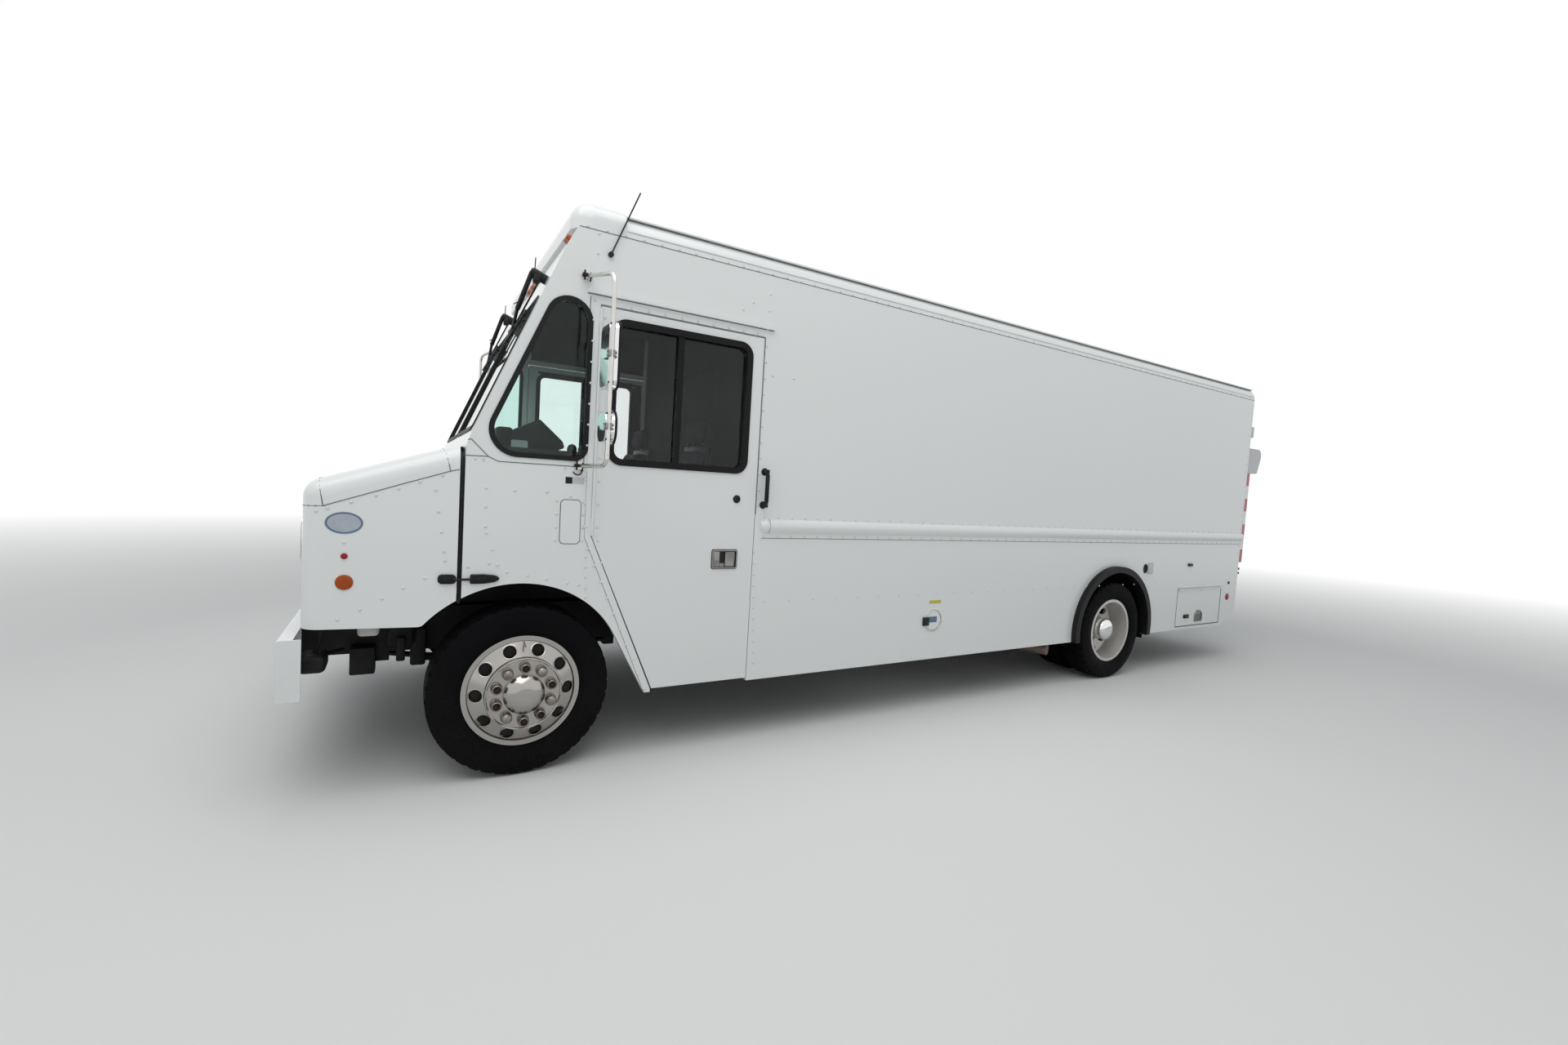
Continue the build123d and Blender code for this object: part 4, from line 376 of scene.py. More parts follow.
def road_dust(node, given):
    """Dust that lies thickest near the ground and fades upwards in patches."""
    place = node("ShaderNodeTexCoord").outputs["Object"]
    height = node("ShaderNodeSeparateXYZ", [(0, place)]).outputs["Z"]
    rise = node("ShaderNodeMath", [(0, height), (1, given["Reach"])], operation="DIVIDE").outputs[0]
    fade = node("ShaderNodeMath", [(0, 1.0), (1, rise)], operation="SUBTRACT", use_clamp=True).outputs[0]
    cloud = node("ShaderNodeTexNoise", [("Vector", place), ("Scale", 3.2), ("Detail", 6.0), ("Roughness", 0.62)])
    fine = node("ShaderNodeTexNoise", [("Vector", place), ("Scale", 60.0), ("Detail", 3.0)])
    both = node("ShaderNodeMath", [(0, cloud.outputs[0]), (1, fine.outputs[0])], operation="MULTIPLY").outputs[0]
    lift = node("ShaderNodeMapRange", [(0, both), (1, 0.12), (2, 0.42)]).outputs[0]
    patch = node("ShaderNodeMath", [(0, lift), (1, fade)], operation="MULTIPLY").outputs[0]
    mask = node("ShaderNodeMath", [(0, patch), (1, given["Amount"])], operation="MULTIPLY", use_clamp=True).outputs[0]
    mix = node("ShaderNodeMix", [("Factor", mask), (6, given["Color"]), (7, given["Dust Color"])], data_type="RGBA")
    return {"Color": mix.outputs[2], "Mask": mask}


def mottle(node, given):
    """Soft change of shade over a surface, at two scales."""
    place = node("ShaderNodeTexCoord").outputs["Object"]
    broad = node("ShaderNodeTexNoise", [("Vector", place), ("Scale", given["Scale"]), ("Detail", 4.0)]).outputs[0]
    lift = node("ShaderNodeMapRange", [(0, broad), (1, 0.3), (2, 0.7)]).outputs[0]
    shade = node("ShaderNodeMath", [(0, lift), (1, 0.5)], operation="SUBTRACT").outputs[0]
    change = node("ShaderNodeMath", [(0, shade), (1, given["Strength"])], operation="MULTIPLY").outputs[0]
    value = node("ShaderNodeMath", [(0, change), (1, 1.0)], operation="ADD").outputs[0]
    tint = node("ShaderNodeHueSaturation", [("Color", given["Color"]), ("Value", value)]).outputs[0]
    return {"Color": tint, "Value": lift}


def gloss_spread(node, given):
    """Roughness that wanders between two values, raised where a mask lies."""
    place = node("ShaderNodeTexCoord").outputs["Object"]
    cloud = node("ShaderNodeTexNoise", [("Vector", place), ("Scale", given["Scale"]), ("Detail", 5.0)]).outputs[0]
    limits = [(0, cloud), (1, 0.32), (2, 0.68), (3, given["Low"]), (4, given["High"])]
    spread = node("ShaderNodeMapRange", limits).outputs[0]
    rough = node("ShaderNodeMix", [("Factor", given["Mask"]), (2, spread), (3, 0.85)], data_type="FLOAT").outputs[0]
    return {"Roughness": rough}


def relief(node, given):
    """Fine grain with a broader wave under it, as a height."""
    place = node("ShaderNodeTexCoord").outputs["Object"]
    grain = node("ShaderNodeTexNoise", [("Vector", place), ("Scale", given["Grain Scale"]), ("Detail", 3.0)]).outputs[0]
    wave = node("ShaderNodeTexNoise", [("Vector", place), ("Scale", given["Wave Scale"]), ("Detail", 1.0)]).outputs[0]
    small = node("ShaderNodeMath", [(0, grain), (1, given["Grain"])], operation="MULTIPLY").outputs[0]
    large = node("ShaderNodeMath", [(0, wave), (1, given["Wave"])], operation="MULTIPLY").outputs[0]
    return {"Height": node("ShaderNodeMath", [(0, small), (1, large)], operation="ADD").outputs[0]}


FLOAT, COLOUR = "NodeSocketFloat", "NodeSocketColor"
grey = (0.5, 0.5, 0.5, 1.0)

# Columns: record slot, colour, metallic, roughness low and high, coat, shade scale and strength,
# grain scale and height, wave height, dust amount and reach (m), transmission
FINISH_TABLE = {
    "body_white": ("body_white", "body_white", 0.0, 0.28, 0.285, 0.5, 0.7, 0.008, 900, 0.04, 0.0, 0.10, 0.8, 0),
    # Rivet white: the body's white darkened as painted shade, so the small domes read against the panels
    "aged_white": ("body_white", (0.70, 0.715, 0.71), 0.0, 0.22, 0.30, 0.5, 9.0, 0.08, 900, 0.06, 0.2, 0.10, 1.2, 0),
    "bumper_white": ("bumper_white", "body_white", 0.0, 0.30, 0.38, 0.3, 3.0, 0.04, 700, 0.06, 0.2, 0.30, 0.9, 0),
    # Dark bead colour for sealed joints, and for painted shadow lines under the roof rail, gutter lip, drip rail and
    # belt rail
    "sealant": ("body_white", (0.13, 0.135, 0.135), 0.0, 0.55, 0.7, 0.0, 12.0, 0.25, 900, 0.2, 0.2, 0.1, 1.5, 0),
    "chassis": ("frame_black", "chassis_black", 0.0, 0.45, 0.65, 0.0, 8.0, 0.35, 300, 0.4, 0.3, 0.07, 0.9, 0),
    "tread_plate": ("floor_grey", (0.26, 0.26, 0.27), 0.7, 0.36, 0.55, 0.0, 8.0, 0.25, 300, 0.3, 0.2, 0.3, 1.2, 0),
    "screen_glass": ("glass_clear", (0.73, 0.89, 0.85), 0.0, 0.0, 0.01, 0.0, 4.0, 0.03, 60, 0.0, 0.1, 0.02, 2.5, 1),
    "dark_glass": ("glass_dark", (0.80, 0.83, 0.835), 0.0, 0.0, 0.012, 0.0, 4.0, 0.05, 60, 0.0, 0.1, 0.02, 2.5, 1),
    "clear_side_glass": ("glass_dark", (0.95, 0.97, 0.965), 0.0, 0.0, 0.01, 0.0, 4.0, 0.05, 60, 0.0, 0.1, 0.02, 2.5, 1),
    "rubber": ("rubber_black", "rubber", 0.0, 0.42, 0.6, 0.0, 20.0, 0.3, 800, 0.3, 0.2, 0.05, 0.9, 0),
    "window_trim": ("frame_trim", (0.005, 0.005, 0.006), 0.0, 0.42, 0.55, 0.0, 10, 0.15, 900, 0.15, 0.2, 0.04, 2.4, 0),
    "cast_iron": ("cast", (0.016, 0.015, 0.014), 0.2, 0.5, 0.75, 0.0, 14.0, 0.5, 160, 1.2, 0.2, 0.10, 0.8, 0),
    "rusty_steel": ("cast", (0.030, 0.017, 0.012), 0.0, 0.6, 0.85, 0.0, 60.0, 0.8, 300, 1.0, 0.2, 0.04, 1.0, 0),
    "tank": ("aluminium_tank", (0.50, 0.51, 0.52), 0.9, 0.3, 0.45, 0.0, 6.0, 0.15, 500, 0.15, 0.5, 0.4, 0.9, 0),
    "exhaust_steel": ("steel_exhaust", (0.22, 0.17, 0.14), 0.8, 0.4, 0.7, 0.0, 9.0, 0.5, 200, 0.5, 0.2, 0.4, 0.8, 0),
    "stainless": ("chrome", (0.66, 0.65, 0.62), 1.0, 0.16, 0.28, 0.0, 10.0, 0.1, 700, 0.1, 0.2, 0.04, 2.6, 0),
    "chrome": ("chrome", (0.80, 0.80, 0.81), 1.0, 0.04, 0.10, 0.0, 10.0, 0.06, 300, 0.02, 0.3, 0.05, 1.4, 0),
    "mirror_glass": ("chrome", (0.86, 0.87, 0.88), 1.0, 0.01, 0.03, 0.0, 6.0, 0.03, 100, 0.0, 0.1, 0.02, 2.6, 0),
    "black_plastic": ("plastic_black", (0.009, 0.009, 0.01), 0.0, 0.36, 0.5, 0.0, 20, 0.2, 1400, 0.4, 0.1, 0.05, 2, 0),
    "gauge_black": ("plastic_black", (0.008, 0.008, 0.009), 0.0, 0.08, 0.14, 0.6, 20, 0.2, 1400, 0.05, 0.1, 0.02, 2, 0),
    "grey_plastic": ("plastic_grey", (0.56, 0.58, 0.58), 0.0, 0.35, 0.5, 0.0, 8.0, 0.06, 1200, 0.2, 0.2, 0.06, 3.0, 0),
    "milky_plastic": ("plastic_grey", (0.50, 0.51, 0.47), 0.0, 0.35, 0.5, 0.1, 8.0, 0.15, 1200, 0.2, 0.2, 0.3, 1.2, 0),
    "clear_lens": ("lens", (0.93, 0.95, 0.96), 0.0, 0.0, 0.03, 0.0, 6.0, 0.02, 120, 0.05, 0.3, 0.03, 1.6, 1),
    "red_lens": ("lamp_red", "red", 0.0, 0.16, 0.22, 0.15, 12.0, 0.12, 420, 0.5, 0.2, 0.08, 1.4, 0),
    "amber_lens": ("lamp_amber", "amber", 0.0, 0.16, 0.22, 0.15, 12.0, 0.12, 420, 0.5, 0.2, 0.08, 1.4, 0),
    "seat_cloth": ("seat_cloth", "seat", 0.0, 0.8, 0.95, 0.0, 14.0, 0.25, 900, 1.2, 0.2, 0.05, 2.0, 0),
    "tyre_rubber": ("tyre", "rubber", 0.0, 0.55, 0.72, 0.0, 9.0, 0.3, 500, 0.4, 0.2, 0.025, 0.9, 0),
    "wheel_alloy": ("wheel_alloy", (0.40, 0.385, 0.365), 1.0, 0.16, 0.22, 0.0, 4.0, 0.08, 500, 0.06, 0.2, 0.05, 0.7, 0),
    "oval_decal": ("body_white", (0.42, 0.47, 0.52), 0.0, 0.35, 0.45, 0.2, 20.0, 0.12, 600, 0.1, 0.2, 0.1, 2.0, 0),
    "yellow_decal": ("body_white", (0.55, 0.50, 0.05), 0.0, 0.35, 0.45, 0.2, 20.0, 0.12, 600, 0.1, 0.2, 0.1, 2.0, 0),
    "blue_decal": ("body_white", (0.10, 0.16, 0.27), 0.0, 0.35, 0.45, 0.2, 20.0, 0.12, 600, 0.1, 0.2, 0.1, 2.0, 0),
    "dull_alloy": ("wheel_alloy", (0.60, 0.585, 0.555), 0.55, 0.42, 0.55, 0.0, 4.0, 0.12, 500, 0.1, 0.2, 0.10, 0.7, 0),
    "load_floor": ("floor_grey", (0.030, 0.030, 0.031), 0.0, 0.5, 0.7, 0.0, 8.0, 0.25, 300, 0.3, 0.2, 0.06, 1.2, 0),
    "nut_steel": ("wheel_alloy", (0.25, 0.225, 0.205), 1.0, 0.22, 0.4, 0.0, 30.0, 0.5, 300, 0.4, 0.2, 0.03, 0.7, 0),
    "handle_steel": ("chrome", (0.27, 0.27, 0.258), 1.0, 0.24, 0.38, 0.0, 12.0, 0.2, 700, 0.1, 0.2, 0.04, 2.6, 0),
    # Near-black inside the cab: the real panels, with the dim interior's shade painted into their colour
    "lining": ("plastic_grey", (0.028, 0.036, 0.037), 0.0, 0.7, 0.85, 0.0, 6.0, 0.2, 700, 0.8, 0.2, 0.03, 2.5, 0),
    "tape_white": ("body_white", (0.78, 0.79, 0.80), 0.0, 0.2, 0.3, 0.3, 30.0, 0.06, 300, 0.6, 0.2, 0.1, 1.6, 0),
    "tape_red": ("lamp_red", (0.42, 0.02, 0.03), 0.0, 0.25, 0.35, 0.3, 30.0, 0.12, 300, 0.6, 0.2, 0.1, 1.6, 0),
}

# Finishes that reflect less than the usual half, and panes that bend light less than thick glass
SHEEN = {
    "tyre_rubber": 0.06, "rubber": 0.3, "black_plastic": 0.3, "window_trim": 0.2, "amber_lens": 0.25, "red_lens": 0.25,
    "rusty_steel": 0.2, "chassis": 0.25, "cast_iron": 0.3, "lining": 0.2, "load_floor": 0.2,
}
PANE_IOR = {"screen_glass": 1.3, "clear_side_glass": 1.3, "dark_glass": 1.28}
# Share of a lamp's light that a pane lets through
PANE_PASS = 0.5
USUAL_IOR, USUAL_SHEEN, COAT_ROUGHNESS = 1.46, 0.5, 0.06
WAVE_SCALE, BUMP_STRENGTH, BUMP_DISTANCE = 2.2, 0.35, 0.0012


def make_finishes(scene):
    """Build the shader groups and every finish in the table."""
    paint = scene.van_paint
    dust_group = effect(
        "Road dust",
        [("Color", COLOUR, grey), ("Dust Color", COLOUR, grey), ("Amount", FLOAT, 0.3), ("Reach", FLOAT, 1.4)],
        [("Color", COLOUR), ("Mask", FLOAT)],
        road_dust,
    )
    mottle_group = effect(
        "Shade mottle",
        [("Color", COLOUR, grey), ("Scale", FLOAT, 5.0), ("Strength", FLOAT, 0.1)],
        [("Color", COLOUR), ("Value", FLOAT)],
        mottle,
    )
    gloss_group = effect(
        "Gloss spread",
        [("Scale", FLOAT, 6.0), ("Low", FLOAT, 0.3), ("High", FLOAT, 0.5), ("Mask", FLOAT, 0.0)],
        [("Roughness", FLOAT)],
        gloss_spread,
    )
    relief_group = effect(
        "Surface relief",
        [("Grain Scale", FLOAT, 600.0), ("Grain", FLOAT, 0.1), ("Wave Scale", FLOAT, 2.2), ("Wave", FLOAT, 0.5)],
        [("Height", FLOAT)],
        relief,
    )
    for name, row in FINISH_TABLE.items():
        slot, colour, metallic, low, high, coat, shade_scale, shade = row[:8]
        grain_scale, grain, wave, dust, reach, clear = row[8:]
        material = bpy.data.materials.new("van_" + name)
        material.use_nodes = True
        tree = material.node_tree
        shader = tree.nodes["Principled BSDF"]
        shader.inputs["Metallic"].default_value = metallic
        shader.inputs["Coat Weight"].default_value = coat
        shader.inputs["Coat Roughness"].default_value = COAT_ROUGHNESS
        shader.inputs["Transmission Weight"].default_value = float(clear)
        shader.inputs["IOR"].default_value = PANE_IOR.get(name, USUAL_IOR)
        shader.inputs["Specular IOR Level"].default_value = SHEEN.get(name, USUAL_SHEEN)

        def group(tree_group, **values):
            made = tree.nodes.new("ShaderNodeGroup")
            made.node_tree = tree_group
            for socket, value in values.items():
                target = made.inputs[socket.replace("_", " ")]
                if isinstance(value, bpy.types.NodeSocket):
                    tree.links.new(value, target)
                else:
                    target.default_value = value
            return made.outputs

        colour = getattr(paint, colour) if isinstance(colour, str) else colour
        shaded = group(mottle_group, Color=(*colour, 1.0), Scale=shade_scale, Strength=shade)
        dusty = group(dust_group, Color=shaded["Color"], Dust_Color=(*paint.dust, 1.0), Amount=dust, Reach=reach)
        rough = group(gloss_group, Scale=shade_scale * 2, Low=low, High=high, Mask=dusty["Mask"])
        height = group(relief_group, Grain_Scale=grain_scale, Grain=grain, Wave_Scale=WAVE_SCALE, Wave=wave)
        bump = tree.nodes.new("ShaderNodeBump")
        bump.inputs["Strength"].default_value = BUMP_STRENGTH
        bump.inputs["Distance"].default_value = BUMP_DISTANCE
        tree.links.new(height["Height"], bump.inputs["Height"])
        tree.links.new(dusty["Color"], shader.inputs["Base Color"])
        tree.links.new(rough["Roughness"], shader.inputs["Roughness"])
        tree.links.new(bump.outputs[0], shader.inputs["Normal"])
        if name in PANE_IOR:
            passing = tree.nodes.new("ShaderNodeBsdfTransparent")
            passing.inputs["Color"].default_value = (*(c * PANE_PASS for c in colour), 1.0)
            rays = tree.nodes.new("ShaderNodeLightPath")
            mix = tree.nodes.new("ShaderNodeMixShader")
            tree.links.new(rays.outputs["Is Shadow Ray"], mix.inputs[0])
            tree.links.new(shader.outputs[0], mix.inputs[1])
            tree.links.new(passing.outputs[0], mix.inputs[2])
            tree.links.new(mix.outputs[0], tree.nodes["Material Output"].inputs["Surface"])
        FINISHES[name] = (material, slot)


# Finish of each CAD node that stays in view
NODE_FINISHES = {
    "body_white": (
        "cab_side_left cab_side_right body_side_left body_side_right roof roof_cap cab_front rear_frame hood "
        "side_rails door_left door_right rear_door_left rear_door_right locker_door"
    ),
    "bumper_white": "front_bumper",
    "chassis": "front_wheelhouses frame_rails cross_members leaf_springs drive_shaft rear_bumper locker_box tie_rod",
    "tread_plate": "cab_floor",
    "load_floor": "load_floor",
    "screen_glass": "cab_glass",
    "dark_glass": "door_glass_left",
    "clear_side_glass": "door_glass_right",
    "rubber": "glazing_seals arch_flares mud_flaps",
    "window_trim": "door_frame_left door_frame_right",
    "cast_iron": "front_axle rear_axle engine_block knuckle_left knuckle_right",
    "tank": "fuel_tank",
    "exhaust_steel": "exhaust",
    "stainless": "mirror_arms",
    "chrome": "mirror_heads",
    "black_plastic": "cab_fittings dashboard grille steering_wheel",
    "grey_plastic": "rear_housing",
    "clear_lens": "headlamps",
    "red_lens": "tail_lamps",
    "amber_lens": "marker_lamps",
    "seat_cloth": "seats",
    "tyre_rubber": "tyre_fl tyre_fr tyres_rl tyres_rr",
    "wheel_alloy": "rim_fl rim_fr",
    "dull_alloy": "rims_rl rims_rr",
}


class VAN_OT_finishes(bpy.types.Operator):
    """Build the finishes and put them on the frame's own pieces"""

    bl_idname = "van.finishes"
    bl_label = "Finishes"

    def execute(self, context):
        make_finishes(context.scene)
        for finish, names in NODE_FINISHES.items():
            for name in names.split():
                if name in nodes:
                    nodes[name].data.materials.clear()
                    nodes[name].data.materials.append(FINISHES[finish][0])
        return {"FINISHED"}


# ---------------------------------------------------------------- tyres

# Outer half of a tyre's edge, from bead to shoulder: (across, radius)
TYRE_WALL = (
    (94, 287), (98, 298), (103, 304), (106, 304), (107, 309), (111, 312), (117, 326), (119, 327), (122, 340),
    (126, 362), (127.3, 378), (126.4, 396), (123.5, 414), (121.5, 424), (121.5, 427), (119, 437), (114, 448),
    (108, 456), (99, 460),
)
# Ribs of the tread, as half positions of its grooves
FRONT_GROOVES = ((72, 63), (31, 22))
REAR_GROOVES = ((58, 49), (20, 11))


# Shoulder notches: least and greatest radius, least distance from the middle and depth (m)
NOTCH_RING, NOTCH_OUT, NOTCH_DEPTH = (444, 460.6), 0.09, 0.007


def crown(x):
    """Radius of the tread at a distance from the tyre's middle."""
    return tyre_radius - 2 * (x / 100) ** 2


def tyre(grooves, depth, steps):
    """One tyre about the front axle's middle, with its tread grooves and shoulder notches."""
    half = [*TYRE_WALL, (84, crown(84))]
    for outer, inner in grooves:
        top = crown(outer)
        half += [(outer, top), (outer - 1.5, top - depth), (inner + 1.5, top - depth), (inner, top)]
    points = half + [(0, crown(0))] + [(-a, r) for a, r in reversed(half)]
    points.append(points[0])
    piece = turned(points, 0, 0, axle_height, steps=steps)
    middle = at(0, 0, axle_height)

    def notch(place, normal):
        radius = math.hypot(place.y - middle.y, place.z - middle.z) * 1000
        turn = math.atan2(place.z - middle.z, place.y - middle.y) / math.tau * steps
        return NOTCH_RING[0] < radius < NOTCH_RING[1] and abs(place.x) > NOTCH_OUT and round(turn - 0.5) % 3 == 0

    pick(piece, notch)
    bpy.ops.mesh.extrude_region_shrink_fatten(TRANSFORM_OT_shrink_fatten={"value": -NOTCH_DEPTH})
    bpy.ops.object.mode_set(mode="OBJECT")
    return piece


class VAN_OT_tyres(bpy.types.Operator):
    """Tyres with grooved treads, one in front and two behind on each side"""

    bl_idname = "van.tyres"
    bl_label = "Tyres"

    def execute(self, context):
        trim = context.scene.van_trim
        front = tyre(FRONT_GROOVES, trim.groove_depth, trim.tread_steps)
        rear = tyre(REAR_GROOVES, trim.groove_depth + 2, trim.tread_steps)
        twins = (rear_outer_x, rear_inner_x)
        sets = (
            ("wheel_fl", "tyre_fl", front, [front_wheel_x], 0),
            ("wheel_fr", "tyre_fr", front, [-front_wheel_x], 0),
            ("wheels_rl", "tyres_rl", rear, twins, wheelbase),
            ("wheels_rr", "tyres_rr", rear, [-x for x in twins], wheelbase),
        )
        for body, node, master, places, station in sets:
            made = [copy(master, x, station) for x in places]
            piece = done(join(made), node + "_tread", body, "tyre_rubber", angle=28)
            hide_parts(node)
        drop([front, rear])
        return {"FINISHED"}


# ---------------------------------------------------------------- rivets


def rivet_head(radius):
    """One domed rivet, flat below, standing on the origin along +Z."""
    start()
    bpy.ops.mesh.primitive_uv_sphere_add(segments=8, ring_count=6, radius=radius / 1000)
    head = bpy.context.object
    head.scale.z = 0.55
    bpy.ops.object.transform_apply(scale=True)
    bpy.ops.object.mode_set(mode="EDIT")
    bpy.ops.mesh.select_all(action="SELECT")
    bpy.ops.mesh.bisect(plane_co=(0, 0, 0), plane_no=(0, 0, 1), clear_inner=True, use_fill=True)
    bpy.ops.object.mode_set(mode="OBJECT")
    return head


def rivet_row(head, first, last, count, out):
    """Row of rivets from one place to another, standing out along a direction."""
    row = copy(head)
    turn = Vector(out).to_track_quat("Z", "Y").to_matrix().to_4x4()
    row.data.transform(Matrix.Translation(at(*first)) @ turn)
    if count > 1:
        take(row)
        repeat = row.modifiers.new("row", "ARRAY")
        repeat.use_relative_offset = False
        repeat.use_constant_offset = True
        repeat.constant_offset_displace = (at(*last) - at(*first)) / (count - 1)
        repeat.count = count
        bpy.ops.object.modifier_apply(modifier=repeat.name)
    return row


# Rows on each side: first (station, height), last, space between, standing proud of the side
SIDE_ROWS = (
    ((230, 2962), (7680, 2962), 104, -0.5),
    ((290, 2937), (290, 2729), 104, 0.0),
    ((1352, 2615), (1352, 1514), 103, 0.0),
    ((1345, 1220), (1383, 499), 71, 0.0),
    ((1404, 1443), (7670, 1443), 105, 4.0),
    ((1404, 1321), (7670, 1321), 105, 4.0),
    ((7668, 600), (7668, 1290), 84, 0.0),
    ((7668, 1480), (7668, 2890), 84, 0.0),
    ((284, 2581), (1285, 2581), 103, 0.0),
    ((281, 2478), (274, 1690), 112, 3.0),
    ((274, 1620), (283, 1357), 112, 3.0),
    ((302, 1235), (664, 408), 102, 3.0),
    ((130, 1494), (130, 1282), 71, 0.0),
    ((269, 1494), (269, 1282), 71, 0.0),
    ((294, 1191), (301, 967), 56, 0.0),
    ((1440, 900), (6000, 900), 190, 0.0),
)
# Single rivets of the side panels
SIDE_SPOTS = (
    (-270, 1690), (-234, 1690), (-216, 1546), (-215, 1450), (-213, 1349), (-207, 1317), (-178, 1231), (-190, 1161),
    (-150, 1150), (-288, 1143), (-104, 1113), (-3, 1094), (94, 1073), (202, 1048), (264, 1036), (300, 1012),
    (-80, 1539), (79, 1539), (164, 1672), (200, 1522), (1358, 2837), (1357, 2734), (1242, 2764), (1176, 2708),
    (1405, 2339), (1562, 2344),
)
HOOD_SPOTS = (
    (-918, 1400), (-875, 1414), (-783, 1447), (-685, 1484), (-593, 1521), (-505, 1559), (-410, 1597), (-438, 1523),
    (-423, 1417), (-408, 1316), (-394, 1219), (-389, 1173), (-473, 1085), (-563, 1036), (-651, 986), (-739, 934),
    (-827, 887), (-808, 1256),
)


class VAN_OT_rivets(bpy.types.Operator):
    """Rows of domed rivets along the body's seams"""

    bl_idname = "van.rivets"
    bl_label = "Rivets"

    def execute(self, context):
        head = rivet_head(context.scene.van_trim.rivet_radius)
        rows, spots = [], []
        for side in (1, -1):
            out = (side, 0, 0)
            for first, last, space, proud in SIDE_ROWS:
                count = round(math.dist(first, last) / space) + 1
                x = side * (side_x + proud)
                rows.append(rivet_row(head, (x, *first), (x, *last), count, out))
            for place in SIDE_SPOTS:
                rows.append(rivet_row(head, (side * side_x, *place), None, 1, out))
            for place in HOOD_SPOTS:
                spots.append(rivet_row(head, (side * hood_skin(*place), *place), None, 1, out))
        # Rivets take a white darker than the body's: painted shade on the domes
        done(join(rows), "body_rivets", "van", "aged_white", angle=60)
        done(join(spots), "hood_rivets", "hood", "aged_white", angle=60)
        for side, body in ((1, "door_left"), (-1, "door_right")):
            x = side * (side_x + 3)
            out = (side, 0, 0)
            hinge = [rivet_row(head, (x, 343, 2500), (x, 349, 1357), 10, out)]
            for place in ((357, 1281), (378, 1157)):
                hinge.append(rivet_row(head, (side * side_x, *place), None, 1, out))
            done(join(hinge), body + "_rivets", body, "aged_white", angle=60)
        drop([head])
        return {"FINISHED"}


# ---------------------------------------------------------------- side trim

HOOD_ENDS = (-335.0, -977.0)
HOOD_HALVES = (1190.0, 1105.0)
HOOD_TOPS = (1757.0, 1530.0)
HOOD_ROUND = 90.0
# Height that the rounded top edge takes on the sloping side
HOOD_ROUND_RISE = 95.5
# Half width at the middle of the front corner's rounding, and how far behind that middle it starts
HOOD_CORNER, HOOD_CORNER_START = 1026.1, -11.8


def hood_at(ends, station):
    """Value between the hood's rear and front at a station."""
    return ends[0] + (ends[1] - ends[0]) * (HOOD_ENDS[0] - station) / (HOOD_ENDS[0] - HOOD_ENDS[1])


def hood_skin(station, height):
    """Half width of the hood's skin, with its rounded top edge and front corner."""
    over = min(max(0.0, height - hood_at(HOOD_TOPS, station) + HOOD_ROUND_RISE), HOOD_ROUND_RISE)
    half = hood_at(HOOD_HALVES, station) - HOOD_ROUND + HOOD_ROUND * math.sqrt(1 - (over / HOOD_ROUND_RISE) ** 2)
    ahead = HOOD_ENDS[1] + HOOD_ROUND - station
    if ahead > HOOD_CORNER_START:
        half = min(half, HOOD_CORNER + math.sqrt(max(0.0, HOOD_ROUND**2 - ahead**2)))
    return half


def on_hood(piece):
    """Lean a piece drawn about the middle plane onto the hood's left side."""
    for vertex in piece.data.vertices:
        vertex.co.x += hood_at(HOOD_HALVES, (vertex.co.y - axle_y) * 1000) / 1000
    return piece


def frame_plate(outline, depth, thickness, rim, across="x"):
    """Flat ring: a plate with its middle cut out, leaving a rim."""
    piece = plate(outline, depth, thickness, across)
    way = Vector((1, 0, 0)) if across == "x" else Vector((0, 1, 0))
    pick(piece, lambda place, normal: abs(normal.dot(way)) > 0.9)
    inset(rim)
    bpy.ops.mesh.bridge_edge_loops()
    bpy.ops.mesh.select_all(action="SELECT")
    bpy.ops.mesh.normals_make_consistent(inside=False)
    bpy.ops.object.mode_set(mode="OBJECT")
    return piece


def dished(outline, depth, thickness, rim, sink, across="x"):
    """Plate whose far face is sunk inside a rim."""
    piece = plate(outline, depth, thickness, across)
    way = Vector((1, 0, 0)) if across == "x" else Vector((0, 1, 0))
    way = way * math.copysign(1, thickness)
    pick(piece, lambda place, normal: normal.dot(way) > 0.9)
    inset(rim)
    bpy.ops.mesh.extrude_region_move(TRANSFORM_OT_translate={"value": way * -sink / 1000})
    bpy.ops.object.mode_set(mode="OBJECT")
    return piece


def ellipse(centre, half_wide, half_high, steps=32):
    """Outline of an ellipse."""
    return [
        (centre[0] + half_wide * math.cos(math.tau * i / steps), centre[1] + half_high * math.sin(math.tau * i / steps))
        for i in range(steps)
    ]


def beads(places, radius=2.2):
    """Line of dark beads through places on a surface, for sealed joints and for painted shadow lines under rails and
    lips.
    """
    return [bar(a, b, radius, sides=6) for a, b in zip(places, places[1:])]


def pairs(pieces):
    """The pieces and their mirrored copies on the other side."""
    return list(pieces) + [other_side(piece) for piece in pieces]


# Sealed seams on a side, as (station, height) points, with painted shadow lines under the belt rail's flange and under
# the drip rail
SIDE_SEAMS_AND_SHADOW_LINES = (
    ((-313, 1704), (-211, 1706), (-163, 1684), (271, 1684)),
    ((-306, 1783), (-291, 1787), (-211, 1706)),
    ((1341, 2566), (1341, 1460)),
    ((318, 2568), (1341, 2568)),
    ((262, 2600), (262, 1690)),
    ((283, 1660), (283, 1302), (662, 392)),
    ((318, 1302), (697, 407)),
    ((283, 1330), (352, 1330)),
    # Painted shadow line under the belt rail's lower flange
    ((1392, 1309), (7680, 1309)),
    # Painted shadow line under the drip rail over the door
    ((244, 2615), (1398, 2615)),
)
